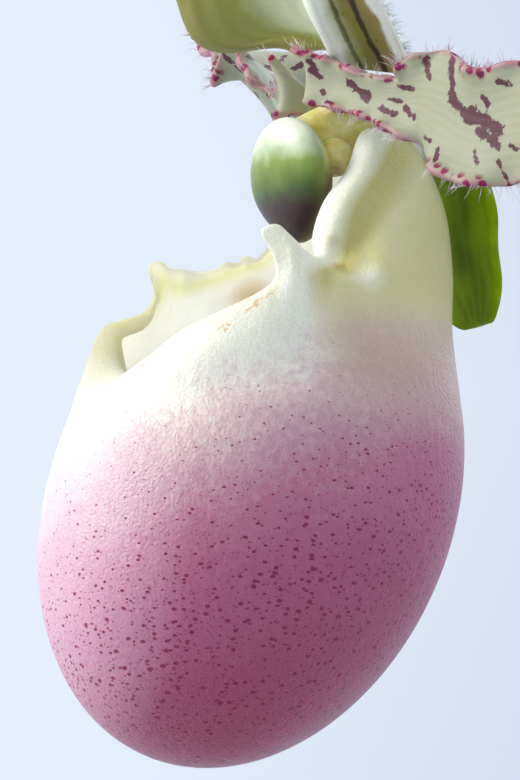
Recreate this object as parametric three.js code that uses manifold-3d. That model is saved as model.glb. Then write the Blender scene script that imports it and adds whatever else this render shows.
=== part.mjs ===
// A potted slipper orchid in bloom: a clay pot of bark chips, two leafy growths on one rhizome,
// and one flower stem with an open flower and a bud.
// Millimetres, +Z up. The origin is the middle of the pot's underside, and the flower faces -Y.
import * as THREE from 'three';
import { mergeVertices } from 'three/addons/utils/BufferGeometryUtils.js';
import Module from 'manifold-3d';

const manifold = await Module();
manifold.setup();

// Pot
const POT_HEIGHT = 105;
const POT_FOOT_RADIUS = 42;
const POT_SHOULDER_RADIUS = 54;
const POT_RIM_RADIUS = 60;
const POT_RIM_HEIGHT = 22;
const POT_WALL = 5;
const POT_FLOOR = 6;
const POT_SIDES = 40;
const DRAIN_HOLES = 5;
const DRAIN_RADIUS = 4.5;
const DRAIN_CIRCLE = 25;

// Bark, with chips on its mounded top
const BARK_EDGE_TOP = 86;
const BARK_CROWN = 4;
const CHIP_COUNT = 38;
const CHIP_SEED = 41;
const SEAT_GAP = 0.3;

// Growths: where each fan of leaves stands, and the rhizome that joins them
const CROWN_TOP = 90;
const CROWN_RADIUS = 12;
const CROWN_DEPTH = 22;
const GROWTH_A = new THREE.Vector2(0, 12);
const GROWTH_B = new THREE.Vector2(3, -27);
const RHIZOME_RADIUS = 4.5;
const ROOT_RADIUS = 1.9;
const ROOT_FOOT = CROWN_TOP - CROWN_DEPTH;
const ROOTS = [
  [[-4, 18, 85], [-14, 27, 88], [-24, 31, 83], [-31, 33, 66]],
  [[6, 16, 84], [17, 24, 89], [27, 26, 85], [35, 25, 69]],
  [[-3, -31, 84], [-13, -36, 88], [-22, -36, 83], [-28, -34, 67]],
  [[9, -30, 84], [19, -33, 88], [27, -31, 84], [34, -27, 69]],
];

// Leaves
const LEAF_THICKNESS = 0.9;
const LEAF_NEST_STEP = 1.3;
const LEAF_INNER_SPACING = 3.3;
const LEAF_INNER_OFFSET = 5.8;
const LEAF_SPINE_STEPS = 60;
const LEAF_ROWS = 15;
const LEAF_COLUMNS = 6;
const LEAF_FOOT_WIDTH = 0.42;
const LEAF_FOOT_FOLD = 90;
const LEAF_OPEN_FOLD = 17;
const LEAF_TIP_START = 0.7;
// length and half-width in mm, lean of the tip from upright in degrees, and sideways drift in mm
const LEAVES_A = [
  { length: 150, halfWidth: 17, lean: 108, drift: 10 },
  { length: 182, halfWidth: 18, lean: 96, drift: 12 },
  { length: 196, halfWidth: 18, lean: 84, drift: 9 },
  { length: 176, halfWidth: 17, lean: 66, drift: 8 },
  { length: 140, halfWidth: 15, lean: 46, drift: 5 },
];
const LEAVES_B = [
  { length: 138, halfWidth: 16, lean: 112, drift: -12 },
  { length: 168, halfWidth: 17, lean: 98, drift: -10 },
  { length: 172, halfWidth: 17, lean: 78, drift: -9 },
  { length: 138, halfWidth: 15, lean: 52, drift: -6 },
];

// Flower stem and its bracts
const STEM_FOOT = CROWN_TOP + SEAT_GAP;
const STEM_NODE = 310;
const STEM_TOP = 322;
const STEM_RADIUS = 2.2;
const STEM_TOP_RADIUS = 1.6;
const STEM_SWAY = 2.2;
const BRACT_THICKNESS = 0.6;
// Each bract: how far it reaches along the stem, its radius round the stem and how much that grows
const SHEATH_FOOT = 178;
const SHEATH = { length: 26, reach: 2.9, flare: 0.9 };
const FLOWER_BRACT = { length: 17, reach: 2.6, flare: 0.6 };

// Bud and its stalk
const BUD_STALK_RADIUS = 1.3;
const BUD_STALK = [[-0.6, 12.4, 322.9], [-0.6, 10.8, 327], [-0.6, 7.4, 332]];
const BUD_CENTRE = [-0.6, 2.4, 335.6];
const BUD_HALF_SIZES = [3.6, 7.2, 3.9];
const BUD_TILT = -0.65;

// The open flower is laid out round its own centre, where petals, lip and column meet
const FLOWER = new THREE.Vector3(0, -26, 330);
const PETAL_THICKNESS = 0.7;
const LIP_WALL = 0.7;

// Ovary, which is also the flower's own stalk
const OVARY_RADIUS = 1.9;
const OVARY_TAPER = 0.35;
const OVARY_POINTS = [
  [0, 0.75, 1.1], [0, 6, 0.6], [0, 13, -1.2], [0, 21, -5], [0, 29, -11], [0, 33.1, -15.2],
  [0, 35.5, -16.8],
];

// Column, with its shield in front and a pollen mass on each side
const COLUMN_RADIUS = 1.4;
const COLUMN_POINTS = [[0, -0.5, 0.2], [0, -2.5, -0.9], [0, -4.6, -2.0], [0, -7.6, -3.6]];
const SHIELD_HALF_SIZES = [4.5, 1.7, 3.8];
const SHIELD_CENTRE = [0, -7.6, -4.9];
const SHIELD_TILT = 0.2;
const SHIELD_TAPER = 0.35;
const POLLEN_HALF_SIZES = [1.2, 1.3, 1.2];
const POLLEN_CENTRE = [1.7, -5.6, -3.6];

// Lip pouch: an egg whose centre line leans back as it rises
const POUCH_EQUATOR = -24.5;
const POUCH_DEPTH_BELOW = 15.7;
const POUCH_DEPTH_ABOVE = 16;
const POUCH_HALF_LENGTH = 12.5;
const POUCH_HALF_WIDTH = 11.6;
const POUCH_CENTRE = -10.2;
const POUCH_LEAN = 0.188;
// Degrees round the pouch from its front, for each guide line of one side
const GUIDE_TURNS = [0, 19, 37, 52, 65, 75, 84, 94, 104, 116, 133, 155, 180];
const SHOULDER_HEIGHTS = [
  -21, -20.4, -19.4, -18.6, -18, -17.6, -17.4, -17.4, -17.6, -17.8, -18, -18.2, -18.4,
];
// The free rim of the front half, from the dip at the front to the tip of the horn
const RIM_FRONT = [
  [0, -18.6, -17.4],
  [3.0, -18.0, -16.35],
  [5.5, -16.9, -14.9],
  [7.5, -15.5, -14.1],
  [8.8, -13.5, -12.7],
  [8.6, -12.6, -9.0],
];
// Behind the horn the wall folds inwards and rises again as the claw's side lobe.
// Each guide line gives the crest of the fold, the valley behind it, the lobe's side and its margin.
const CLAW_GUIDES = [
  [[9.8, -10.9, -12.0], [9.5, -10.7, -11.2], [9.0, -10.7, -10.7], [8.4, -10.7, -10.3]],
  [[9.7, -9.3, -11.8], [8.2, -8.4, -11.3], [7.1, -9.0, -10.5], [6.2, -9.0, -10.4]],
  [[9.9, -7.5, -12.8], [8.7, -7.2, -11.4], [7.3, -8.4, -9.3], [6.0, -9.0, -9.3]],
  [[9.4, -5.4, -13.4], [8.7, -5.7, -10.6], [6.9, -7.2, -7.4], [5.3, -8.0, -7.1]],
  [[7.9, -2.6, -13.8], [7.2, -3.1, -9.7], [5.7, -5.4, -5.5], [4.2, -6.0, -5.2]],
  [[5.0, 0.6, -14.0], [4.6, 0.4, -8.6], [3.8, -3.1, -3.3], [2.6, -4.3, -3.0]],
  [[0, 2.3, -14.2], [0, 2.5, -10.0], [0, 2.2, -5.5], [0, 1.4, -2.0]],
];
const POUCH_RING_ANGLES = [12, 28, 44, 60, 76, 90];
const RIM_SHARES = [0.55, 0.7, 0.85];
const RIM_BULGE = 0.5;
const LIP_COLUMNS_PER_GUIDE = 2;
// Rows of the lip's mesh between one ring of guide points and the next
const LIP_ROWS_PER_RING = [1, 1, 1, 1, 1, 1, 2, 1, 2, 1];

// Petal: the two margins of the left petal, from the flower's centre out to its tip
const PETAL_UPPER = [
  [1.6, -8.4, 2.9], [2.5, -7.6, 2.5], [4, -6.9, 1.9], [7, -6.0, 0.6], [10, -5.1, 0],
  [12, -5.1, 0.8], [14.5, -4.7, 0.8], [18, -3.9, -1.0], [22, -3.2, -1.0], [27, -1.2, -2.0],
  [32, 1.0, -4.2], [37, 2.2, -7.6], [41, 2.0, -10.2], [44, 0.6, -12.2],
];
const PETAL_LOWER = [
  [2.0, -2.5, -1.0], [1.9, -7.5, -0.6], [4.2, -6.8, -1.2], [7, -6.0, -2.2], [9.5, -5.6, -3.3],
  [12, -5.2, -4.5], [14, -5.2, -6.0], [18, -4.6, -7.8], [22, -3.6, -8.0], [26.5, -3.0, -9.0],
  [31, -4.6, -10.6], [36, -5.0, -12.4], [40, -3.4, -13.6], [44, -0.6, -13.2],
];
const PETAL_WAVE = 0.9;
const PETAL_WAVES = 5;
const PETAL_CUP = 0.7;
// The right petal is held higher and further back than the left one, by this much at its tip,
// and its face is turned up by this many degrees
const LEFT_PETAL = { hand: 1, rise: 0, sweep: 0, twist: 0 };
const RIGHT_PETAL = { hand: -1, rise: 30, sweep: 9, twist: 105 };
const RISE_START = 0.15;

// Dorsal sepal: a hood whose sides come forward to a ridge, with the margins rolled back behind it
const DORSAL_SPINE = [
  [0, 0.6, 4.0], [0, -1.4, 6.7], [0, -3.7, 10.5], [0, -7.2, 16.5], [0, -12.5, 22], [0, -18.5, 26],
];
const SEPAL_HALF_WIDTH = 11.2;
const SEPAL_FOOT_WIDTH = 0.62;
const SEPAL_RIDGE = 0.66;
const SEPAL_FOOT_HOOD = 6.7;
const SEPAL_HOOD = 8.2;
const SEPAL_DROP = 0.9;
const SEPAL_FOOT_ROLL = 0.7;
const SEPAL_ROLL = 0.42;
// The left corner of the foot hangs lower. The right side is drawn up higher at its foot and reaches
// further forward.
const SEPAL_CORNER_DROP = 1.3;
const SEPAL_RIGHT_RAISE = 2;
const SEPAL_RIGHT_REACH = 1.3;

// Synsepal: the two lower sepals as one blade
const SYNSEPAL_HALF_WIDTH = 5.5;
const SYNSEPAL_LENGTH = 11.6;
const SYNSEPAL_FOOT = [3.1, -1.5];

// One closed mesh turned so that its faces point out
function facingOut(positions, triangles) {
  let volume = 0;
  const a = new THREE.Vector3();
  const b = new THREE.Vector3();
  const c = new THREE.Vector3();
  for (const [i, j, k] of triangles) {
    a.copy(positions[i]);
    b.copy(positions[j]);
    c.copy(positions[k]);
    volume += a.dot(b.cross(c));
  }
  const order = volume < 0 ? triangles.map(([i, j, k]) => [i, k, j]) : triangles;
  const geometry = new THREE.BufferGeometry();
  geometry.setAttribute(
    'position',
    new THREE.Float32BufferAttribute(positions.flatMap((point) => point.toArray()), 3),
  );
  geometry.setIndex(order.flat());
  return geometry;
}

// Direction that faces away from a sheet given as a function of (s, t)
function sheetNormal(sheet, s, t) {
  const step = 0.004;
  const along = sheet(Math.min(s + step, 1), t).sub(sheet(Math.max(s - step, 0), t));
  const across = sheet(s, Math.min(t + step, 1)).sub(sheet(s, Math.max(t - step, -1)));
  return along.cross(across).normalize();
}

// A blade: the sheet(s, t) with s from 0 to 1 along it and t from -1 to 1 across it, thickened
// to both sides and split into triangles alike on both faces
function blade(sheet, rows, columns, thickness) {
  const positions = [];
  const triangles = [];
  const perFace = (rows + 1) * (columns + 1);
  const at = (row, column) => row * (columns + 1) + column;
  for (const side of [0.5, -0.5]) {
    for (let row = 0; row <= rows; row++) {
      for (let column = 0; column <= columns; column++) {
        const s = row / rows;
        const t = (2 * column) / columns - 1;
        const shift = sheetNormal(sheet, s, t).multiplyScalar(side * thickness);
        positions.push(sheet(s, t).add(shift));
      }
    }
  }
  const wall = (i, j) => {
    triangles.push([j, i, i + perFace], [j, i + perFace, j + perFace]);
  };
  for (let row = 0; row < rows; row++) {
    for (let column = 0; column < columns; column++) {
      const a = at(row, column);
      const b = at(row + 1, column);
      const c = at(row + 1, column + 1);
      const d = at(row, column + 1);
      triangles.push([a, b, c], [a, c, d]);
      triangles.push([a + perFace, c + perFace, b + perFace], [a + perFace, d + perFace, c + perFace]);
    }
    wall(at(row, 0), at(row + 1, 0));
    wall(at(row + 1, columns), at(row, columns));
  }
  for (let column = 0; column < columns; column++) {
    wall(at(0, column + 1), at(0, column));
    wall(at(rows, column), at(rows, column + 1));
  }
  return facingOut(positions, triangles);
}

// A closed form through rings of equal length, with a middle point at each end
function loft(rings) {
  const sides = rings[0].length;
  const positions = rings.flat();
  const triangles = [];
  for (let ring = 0; ring < rings.length - 1; ring++) {
    for (let side = 0; side < sides; side++) {
      const a = ring * sides + side;
      const b = ring * sides + ((side + 1) % sides);
      triangles.push([a, b, b + sides], [a, b + sides, a + sides]);
    }
  }
  const middle = (ring) => {
    const sum = new THREE.Vector3();
    ring.forEach((point) => sum.add(point));
    return sum.divideScalar(sides);
  };
  const first = positions.push(middle(rings[0])) - 1;
  const last = positions.push(middle(rings[rings.length - 1])) - 1;
  const lastRing = (rings.length - 1) * sides;
  for (let side = 0; side < sides; side++) {
    const next = (side + 1) % sides;
    triangles.push([first, next, side]);
    triangles.push([last, lastRing + side, lastRing + next]);
  }
  return facingOut(positions, triangles);
}

// A stalk along a curve, with its radius given from foot (0) to end (1)
function stalk(points, radiusAt, steps, sides) {
  const curve = new THREE.CatmullRomCurve3(points.map((point) => new THREE.Vector3(...point)));
  const frames = curve.computeFrenetFrames(steps, false);
  const rings = [];
  for (let step = 0; step <= steps; step++) {
    const centre = curve.getPointAt(step / steps);
    const radius = radiusAt(step / steps);
    const ring = [];
    for (let side = 0; side < sides; side++) {
      const angle = (2 * Math.PI * side) / sides;
      ring.push(
        centre
          .clone()
          .addScaledVector(frames.normals[step], radius * Math.cos(angle))
          .addScaledVector(frames.binormals[step], radius * Math.sin(angle)),
      );
    }
    rings.push(ring);
  }
  return loft(rings);
}

// Joining and cutting
function solid(geometry) {
  const bare = geometry.clone();
  bare.deleteAttribute('normal');
  bare.deleteAttribute('uv');
  const merged = mergeVertices(bare, 1e-4);
  return new manifold.Manifold(
    new manifold.Mesh({
      numProp: 3,
      vertProperties: new Float32Array(merged.attributes.position.array),
      triVerts: new Uint32Array(merged.index.array),
    }),
  );
}

function geometryOf(body) {
  const mesh = body.getMesh();
  const geometry = new THREE.BufferGeometry();
  geometry.setAttribute('position', new THREE.BufferAttribute(mesh.vertProperties, 3));
  geometry.setIndex(new THREE.BufferAttribute(mesh.triVerts, 1));
  return geometry;
}

function joined(geometries) {
  return geometries.map(solid).reduce((whole, next) => whole.add(next));
}

// The one body that a join was made for, without sealed hollows or loose scraps
function largest(body) {
  return body.decompose().reduce((kept, part) => (part.volume() > kept.volume() ? part : kept));
}

const plant = new THREE.Group();

function piece(name, geometry, colour, roughness) {
  const shown = geometry.index ? geometry.toNonIndexed() : geometry;
  shown.computeVertexNormals();
  const material = new THREE.MeshStandardMaterial({ color: colour, roughness, metalness: 0 });
  const mesh = new THREE.Mesh(shown, material);
  mesh.name = name;
  plant.add(mesh);
  return mesh;
}

// A seeded draw between 0 and 1, so that the chips fall the same way each time
function seededDraw(seed) {
  let state = seed;
  return () => {
    state = (state + 0x6d2b79f5) | 0;
    let mixed = Math.imul(state ^ (state >>> 15), 1 | state);
    mixed = (mixed + Math.imul(mixed ^ (mixed >>> 7), 61 | mixed)) ^ mixed;
    return ((mixed ^ (mixed >>> 14)) >>> 0) / 4294967296;
  };
}

function lathe(profile, sides) {
  const turned = new THREE.LatheGeometry(profile.map(([x, y]) => new THREE.Vector2(x, y)), sides);
  return turned.rotateX(Math.PI / 2);
}

function upright(radius, height, x, y, bottom, sides) {
  const post = new THREE.CylinderGeometry(radius, radius, height, sides);
  return post.rotateX(Math.PI / 2).translate(x, y, bottom + height / 2);
}

// Clay pot: a tapered wall with a thick rim band and drain holes round the middle of the floor
function clayPot() {
  const rimFoot = POT_HEIGHT - POT_RIM_HEIGHT;
  const innerRim = POT_RIM_RADIUS - POT_WALL - 1;
  const innerFoot = POT_FOOT_RADIUS - POT_WALL;
  const walls = lathe(
    [
      [0, 0],
      [POT_FOOT_RADIUS - 1, 0],
      [POT_FOOT_RADIUS, 1],
      [POT_SHOULDER_RADIUS, rimFoot],
      [POT_RIM_RADIUS - 1.5, rimFoot],
      [POT_RIM_RADIUS - 0.5, rimFoot + 1.5],
      [POT_RIM_RADIUS, POT_HEIGHT - 2],
      [POT_RIM_RADIUS - 1.5, POT_HEIGHT],
      [innerRim + 1.5, POT_HEIGHT],
      [innerRim, POT_HEIGHT - 1.5],
      [innerFoot, POT_FLOOR],
      [0, POT_FLOOR],
    ],
    POT_SIDES,
  );
  let pot = solid(walls);
  for (let hole = 0; hole < DRAIN_HOLES; hole++) {
    const angle = (2 * Math.PI * hole) / DRAIN_HOLES;
    const x = DRAIN_CIRCLE * Math.cos(angle);
    const y = DRAIN_CIRCLE * Math.sin(angle);
    pot = pot.subtract(solid(upright(DRAIN_RADIUS, POT_FLOOR + 2, x, y, -1, 10)));
  }
  return geometryOf(pot);
}

// Inside radius of the pot at a height
function potInside(height) {
  const innerRim = POT_RIM_RADIUS - POT_WALL - 1;
  const innerFoot = POT_FOOT_RADIUS - POT_WALL;
  const share = (height - POT_FLOOR) / (POT_HEIGHT - 1.5 - POT_FLOOR);
  return innerFoot + share * (innerRim - innerFoot);
}

// Two short upright growths joined by a creeping rhizome, with a few roots that dive into the bark.
// The bark is cut with the same form made larger by a clearance.
function rootstock(clearance) {
  const tall = CROWN_DEPTH + (clearance ? CROWN_RADIUS + clearance : 0);
  const crown = ({ x, y }) => upright(CROWN_RADIUS + clearance, tall, x, y, ROOT_FOOT - clearance, 14);
  const creep = [
    [GROWTH_A.x, GROWTH_A.y, ROOT_FOOT + 8],
    [2.5, -8, ROOT_FOOT + 5],
    [GROWTH_B.x, GROWTH_B.y, ROOT_FOOT + 8],
  ];
  const forms = [crown(GROWTH_A), crown(GROWTH_B), stalk(creep, () => RHIZOME_RADIUS + clearance, 8, 10)];
  for (const root of ROOTS) {
    const [x, y, z] = root[root.length - 1];
    const points = [...root.slice(0, -1), [x, y, z - clearance]];
    forms.push(stalk(points, () => ROOT_RADIUS + clearance, 10, 7));
  }
  return joined(forms);
}

// Bark: a plug that fills the pot, its top mounded and covered with flat broken chips
function barkChips() {
  const low = POT_FLOOR + SEAT_GAP;
  const edge = (height) => potInside(height) - SEAT_GAP - 0.2;
  const crownHeight = BARK_EDGE_TOP + BARK_CROWN;
  const plug = lathe(
    [
      [0, low],
      [edge(low) - 1, low],
      [edge(BARK_EDGE_TOP) - 0.5, BARK_EDGE_TOP - 4],
      [edge(BARK_EDGE_TOP) * 0.62, BARK_EDGE_TOP],
      [0, crownHeight - 3],
    ],
    POT_SIDES,
  );
  let bark = solid(plug);
  const draw = seededDraw(CHIP_SEED);
  for (let chip = 0; chip < CHIP_COUNT; chip++) {
    const length = 9 + 8 * draw();
    const width = 6 + 5 * draw();
    const height = 4 + 3 * draw();
    const reach = (edge(BARK_EDGE_TOP) - 9) * Math.sqrt((chip + 0.5) / CHIP_COUNT);
    const angle = chip * 2.39996 + 0.4 * draw();
    const form = new THREE.BoxGeometry(length, width, height);
    form.rotateX(0.5 * (draw() - 0.5));
    form.rotateY(0.5 * (draw() - 0.5));
    form.rotateZ(Math.PI * draw());
    const settle = BARK_EDGE_TOP - 2.2 + 2.5 * (1 - (reach / edge(BARK_EDGE_TOP)) ** 2) + 2.4 * draw();
    form.translate(reach * Math.cos(angle), reach * Math.sin(angle), settle);
    bark = bark.add(solid(form));
  }
  return geometryOf(largest(largest(bark).subtract(rootstock(SEAT_GAP + 0.1))));
}

// A strap leaf: folded round its neighbours at the foot, opening to a shallow keel as it arches out.
// nest counts from the outermost leaf (0), side is the way it leans, turn is the fan's direction.
function strapLeaf(growth, turn, nest, nestCount, side, shape) {
  const inward = nestCount - 1 - nest;
  const spacing = LEAF_INNER_SPACING + LEAF_NEST_STEP * inward;
  const offset = LEAF_INNER_OFFSET + LEAF_NEST_STEP * inward;
  const steps = LEAF_SPINE_STEPS;
  const spine = [];
  let reach = offset;
  let height = CROWN_TOP + SEAT_GAP;
  const leanAt = (s) => {
    const free = THREE.MathUtils.smoothstep(s, 0.05 + 0.03 * nest, 1);
    const early = THREE.MathUtils.smoothstep(s, 0.03 + 0.05 * nest, 0.55 + 0.05 * nest);
    return THREE.MathUtils.degToRad(shape.lean * (0.55 * free + 0.45 * early));
  };
  for (let step = 0; step <= steps; step++) {
    spine.push([reach, height]);
    const lean = leanAt((step + 0.5) / steps);
    reach += (Math.sin(lean) * shape.length) / steps;
    height += (Math.cos(lean) * shape.length) / steps;
  }
  const along = new THREE.Vector3(Math.cos(turn), Math.sin(turn), 0).multiplyScalar(side);
  const sideways = new THREE.Vector3(-Math.sin(turn), Math.cos(turn), 0);
  const sheet = (s, t) => {
    const place = s * steps;
    const index = Math.min(Math.floor(place), steps - 1);
    const part = place - index;
    const [r0, h0] = spine[index];
    const [r1, h1] = spine[index + 1];
    const lean = leanAt(s);
    const spread = THREE.MathUtils.smoothstep(s, 0.08 + 0.04 * nest, 0.5 + 0.07 * nest);
    const widen = THREE.MathUtils.lerp(LEAF_FOOT_WIDTH, 1, spread);
    const tip = (s - LEAF_TIP_START) / (1.005 - LEAF_TIP_START);
    const taper = tip > 0 ? Math.sqrt(Math.max(1 - tip ** 2, 0.004)) : 1;
    const halfWidth = shape.halfWidth * widen * taper;
    const open = THREE.MathUtils.smoothstep(s, 0.06 + 0.055 * nest, 0.34 + 0.06 * nest);
    const fold = THREE.MathUtils.degToRad(THREE.MathUtils.lerp(LEAF_FOOT_FOLD, LEAF_OPEN_FOLD, open));
    const armLength = Math.abs(t) * halfWidth;
    const bendLength = spacing * fold;
    const bent = Math.min(armLength, bendLength);
    const straight = armLength - bent;
    const angle = bent / spacing;
    const wide = spacing * Math.sin(angle) + straight * Math.cos(fold);
    const deep = spacing * (1 - Math.cos(angle)) + straight * Math.sin(fold);
    const point = new THREE.Vector3(growth.x, growth.y, 0);
    point.addScaledVector(along, r0 + part * (r1 - r0) - deep * Math.cos(lean));
    point.z = h0 + part * (h1 - h0) + deep * Math.sin(lean);
    point.addScaledVector(sideways, Math.sign(t) * wide + shape.drift * s * s);
    return point;
  };
  return blade(sheet, LEAF_ROWS, LEAF_COLUMNS, LEAF_THICKNESS);
}

function stemCentre(height) {
  const share = (height - STEM_FOOT) / (STEM_NODE - STEM_FOOT);
  const sway = STEM_SWAY * share * Math.sin(share * Math.PI * 2);
  return new THREE.Vector3(GROWTH_A.x + sway, GROWTH_A.y, height);
}

function flowerStem() {
  const points = [];
  for (const share of [0, 0.15, 0.3, 0.5, 0.7, 0.85, 1]) {
    points.push(stemCentre(STEM_FOOT + share * (STEM_NODE - STEM_FOOT)).toArray());
  }
  points.push([GROWTH_A.x - 0.6, GROWTH_A.y + 0.6, STEM_TOP]);
  return stalk(points, (share) => THREE.MathUtils.lerp(STEM_RADIUS, STEM_TOP_RADIUS, share), 18, 9);
}

// A bract: a boat-shaped blade that clasps what it grows round, from its foot to its pointed tip
function bract(foot, aim, up, { length, reach, flare }) {
  const direction = aim.clone().normalize();
  const cross = new THREE.Vector3().crossVectors(direction, up).normalize();
  const back = new THREE.Vector3().crossVectors(cross, direction).normalize();
  const sheet = (s, t) => {
    const taper = Math.sqrt(Math.max(1 - s ** 2.4, 0.03));
    const angle = t * 2.0 * taper;
    const radius = reach + flare * s;
    const point = foot.clone().addScaledVector(direction, length * s);
    point.addScaledVector(cross, radius * Math.sin(angle));
    return point.addScaledVector(back, -radius * Math.cos(angle));
  };
  return blade(sheet, 8, 8, BRACT_THICKNESS);
}

// Flower parts below are laid out round the flower's centre and moved there once made
function inFlower(geometry) {
  return geometry.translate(FLOWER.x, FLOWER.y, FLOWER.z);
}

// Ovary and its stalk: one hairy ribbed stem from the flower's back down to the flower stem
function ovary() {
  return stalk(OVARY_POINTS, (share) => OVARY_RADIUS - OVARY_TAPER * share, 12, 9);
}

// A ball drawn out to three half-sizes, narrowed towards its lower end, tilted and moved
function taperedEgg(halfSizes, tilt, centre, sides, taper) {
  const ball = new THREE.SphereGeometry(1, sides, sides / 2).rotateX(Math.PI / 2);
  const place = ball.attributes.position;
  for (let index = 0; index < place.count; index++) {
    const below = Math.max(-place.getZ(index), 0);
    place.setX(index, place.getX(index) * (1 - taper * below ** 1.5));
  }
  return ball.scale(...halfSizes).rotateX(tilt).translate(...centre);
}

function egg(halfSizes, tilt, centre, sides) {
  return taperedEgg(halfSizes, tilt, centre, sides, 0);
}

// Column with its shield-shaped staminode in front and a pollen mass on each side
function column() {
  const body = stalk(COLUMN_POINTS, () => COLUMN_RADIUS, 6, 10);
  const shield = taperedEgg(SHIELD_HALF_SIZES, SHIELD_TILT, SHIELD_CENTRE, 14, SHIELD_TAPER);
  const [x, y, z] = POLLEN_CENTRE;
  const pollen = [-1, 1].map((side) => egg(POLLEN_HALF_SIZES, 0, [side * x, y, z], 8));
  return geometryOf(joined([body, shield, ...pollen]));
}

// A smooth curve through a list of guide points, read from 0 to 1 with equal steps between points
function guideCurve(points) {
  const places = points.map((point) => new THREE.Vector3(...point));
  return new THREE.CatmullRomCurve3(places, false, 'centripetal');
}

// Point of the pouch's egg at a height, turned from its front
function pouchPoint(height, turn) {
  const depth = height < POUCH_EQUATOR ? POUCH_DEPTH_BELOW : POUCH_DEPTH_ABOVE;
  const share = Math.sqrt(Math.max(1 - ((height - POUCH_EQUATOR) / depth) ** 2, 0));
  const middle = POUCH_CENTRE + POUCH_LEAN * (height - POUCH_EQUATOR);
  return new THREE.Vector3(
    POUCH_HALF_WIDTH * share * Math.sin(turn),
    middle - POUCH_HALF_LENGTH * share * Math.cos(turn),
    height,
  );
}

// One guide line of the lip, from the toe of the pouch up to its margin
function lipGuide(index) {
  const turn = THREE.MathUtils.degToRad(GUIDE_TURNS[index]);
  const line = POUCH_RING_ANGLES.map((angle) => {
    const height = POUCH_EQUATOR - POUCH_DEPTH_BELOW * Math.cos(THREE.MathUtils.degToRad(angle));
    return pouchPoint(height, turn);
  });
  const shoulder = pouchPoint(SHOULDER_HEIGHTS[index], turn);
  line.push(shoulder);
  if (index < RIM_FRONT.length) {
    const rim = new THREE.Vector3(...RIM_FRONT[index]);
    const outwards = shoulder.clone().sub(pouchPoint(SHOULDER_HEIGHTS[index], turn + Math.PI)).normalize();
    for (const share of RIM_SHARES) {
      const bulge = RIM_BULGE * 4 * share * (1 - share);
      line.push(shoulder.clone().lerp(rim, share).addScaledVector(outwards, bulge));
    }
    line.push(rim);
  } else {
    CLAW_GUIDES[index - RIM_FRONT.length].forEach((point) => line.push(new THREE.Vector3(...point)));
  }
  return line;
}

// The lip: a thin-walled pouch, open above, whose back rises as the claw that holds it
function lipShell() {
  const guides = GUIDE_TURNS.map((turn, index) => lipGuide(index));
  const levels = guides[0].length;
  const rings = guides[0].map((point, level) => guideCurve(guides.map((line) => line[level].toArray())));
  const half = Math.round((GUIDE_TURNS.length - 1) * LIP_COLUMNS_PER_GUIDE);
  const columns = 2 * half;
  const stops = [];
  for (let level = 0; level < levels - 1; level++) {
    const parts = LIP_ROWS_PER_RING[level];
    for (let part = 0; part < parts; part++) {
      stops.push((level + part / parts) / (levels - 1));
    }
  }
  stops.push(1);
  const toe = pouchPoint(POUCH_EQUATOR - POUCH_DEPTH_BELOW, 0);
  const outer = [];
  for (let column = 0; column < columns; column++) {
    const onLeft = column <= half;
    const place = (onLeft ? column : columns - column) / half;
    const line = guideCurve(rings.map((ring) => ring.getPoint(place).toArray()));
    for (const stop of stops) {
      const point = line.getPoint(stop);
      if (!onLeft) point.x = -point.x;
      if (place === 0 || place === 1) point.x = 0;
      outer.push(point);
    }
  }
  const rows = stops.length;
  const at = (column, row) => ((column + columns) % columns) * rows + row;
  const normals = outer.map(() => new THREE.Vector3());
  const faces = [];
  for (let column = 0; column < columns; column++) {
    for (let row = 0; row < rows - 1; row++) {
      faces.push([at(column, row), at(column + 1, row), at(column + 1, row + 1)]);
      faces.push([at(column, row), at(column + 1, row + 1), at(column, row + 1)]);
    }
  }
  for (const face of faces) {
    const [a, b, c] = face.map((index) => outer[index]);
    const normal = b.clone().sub(a).cross(c.clone().sub(a));
    face.forEach((index) => normals[index].add(normal));
  }
  const inner = outer.map((point, index) => {
    const normal = normals[index].normalize();
    return point.clone().addScaledVector(normal, -LIP_WALL);
  });
  const count = outer.length;
  const positions = [...outer, ...inner, toe, toe.clone().add(new THREE.Vector3(0, 0, LIP_WALL))];
  const triangles = [];
  for (const [a, b, c] of faces) {
    triangles.push([a, b, c], [a + count, c + count, b + count]);
  }
  for (let column = 0; column < columns; column++) {
    const a = at(column, 0);
    const b = at(column + 1, 0);
    triangles.push([2 * count, b, a], [2 * count + 1, a + count, b + count]);
    const c = at(column, rows - 1);
    const d = at(column + 1, rows - 1);
    triangles.push([c, d, d + count], [c, d + count, c + count]);
  }
  return facingOut(positions, triangles);
}

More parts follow.
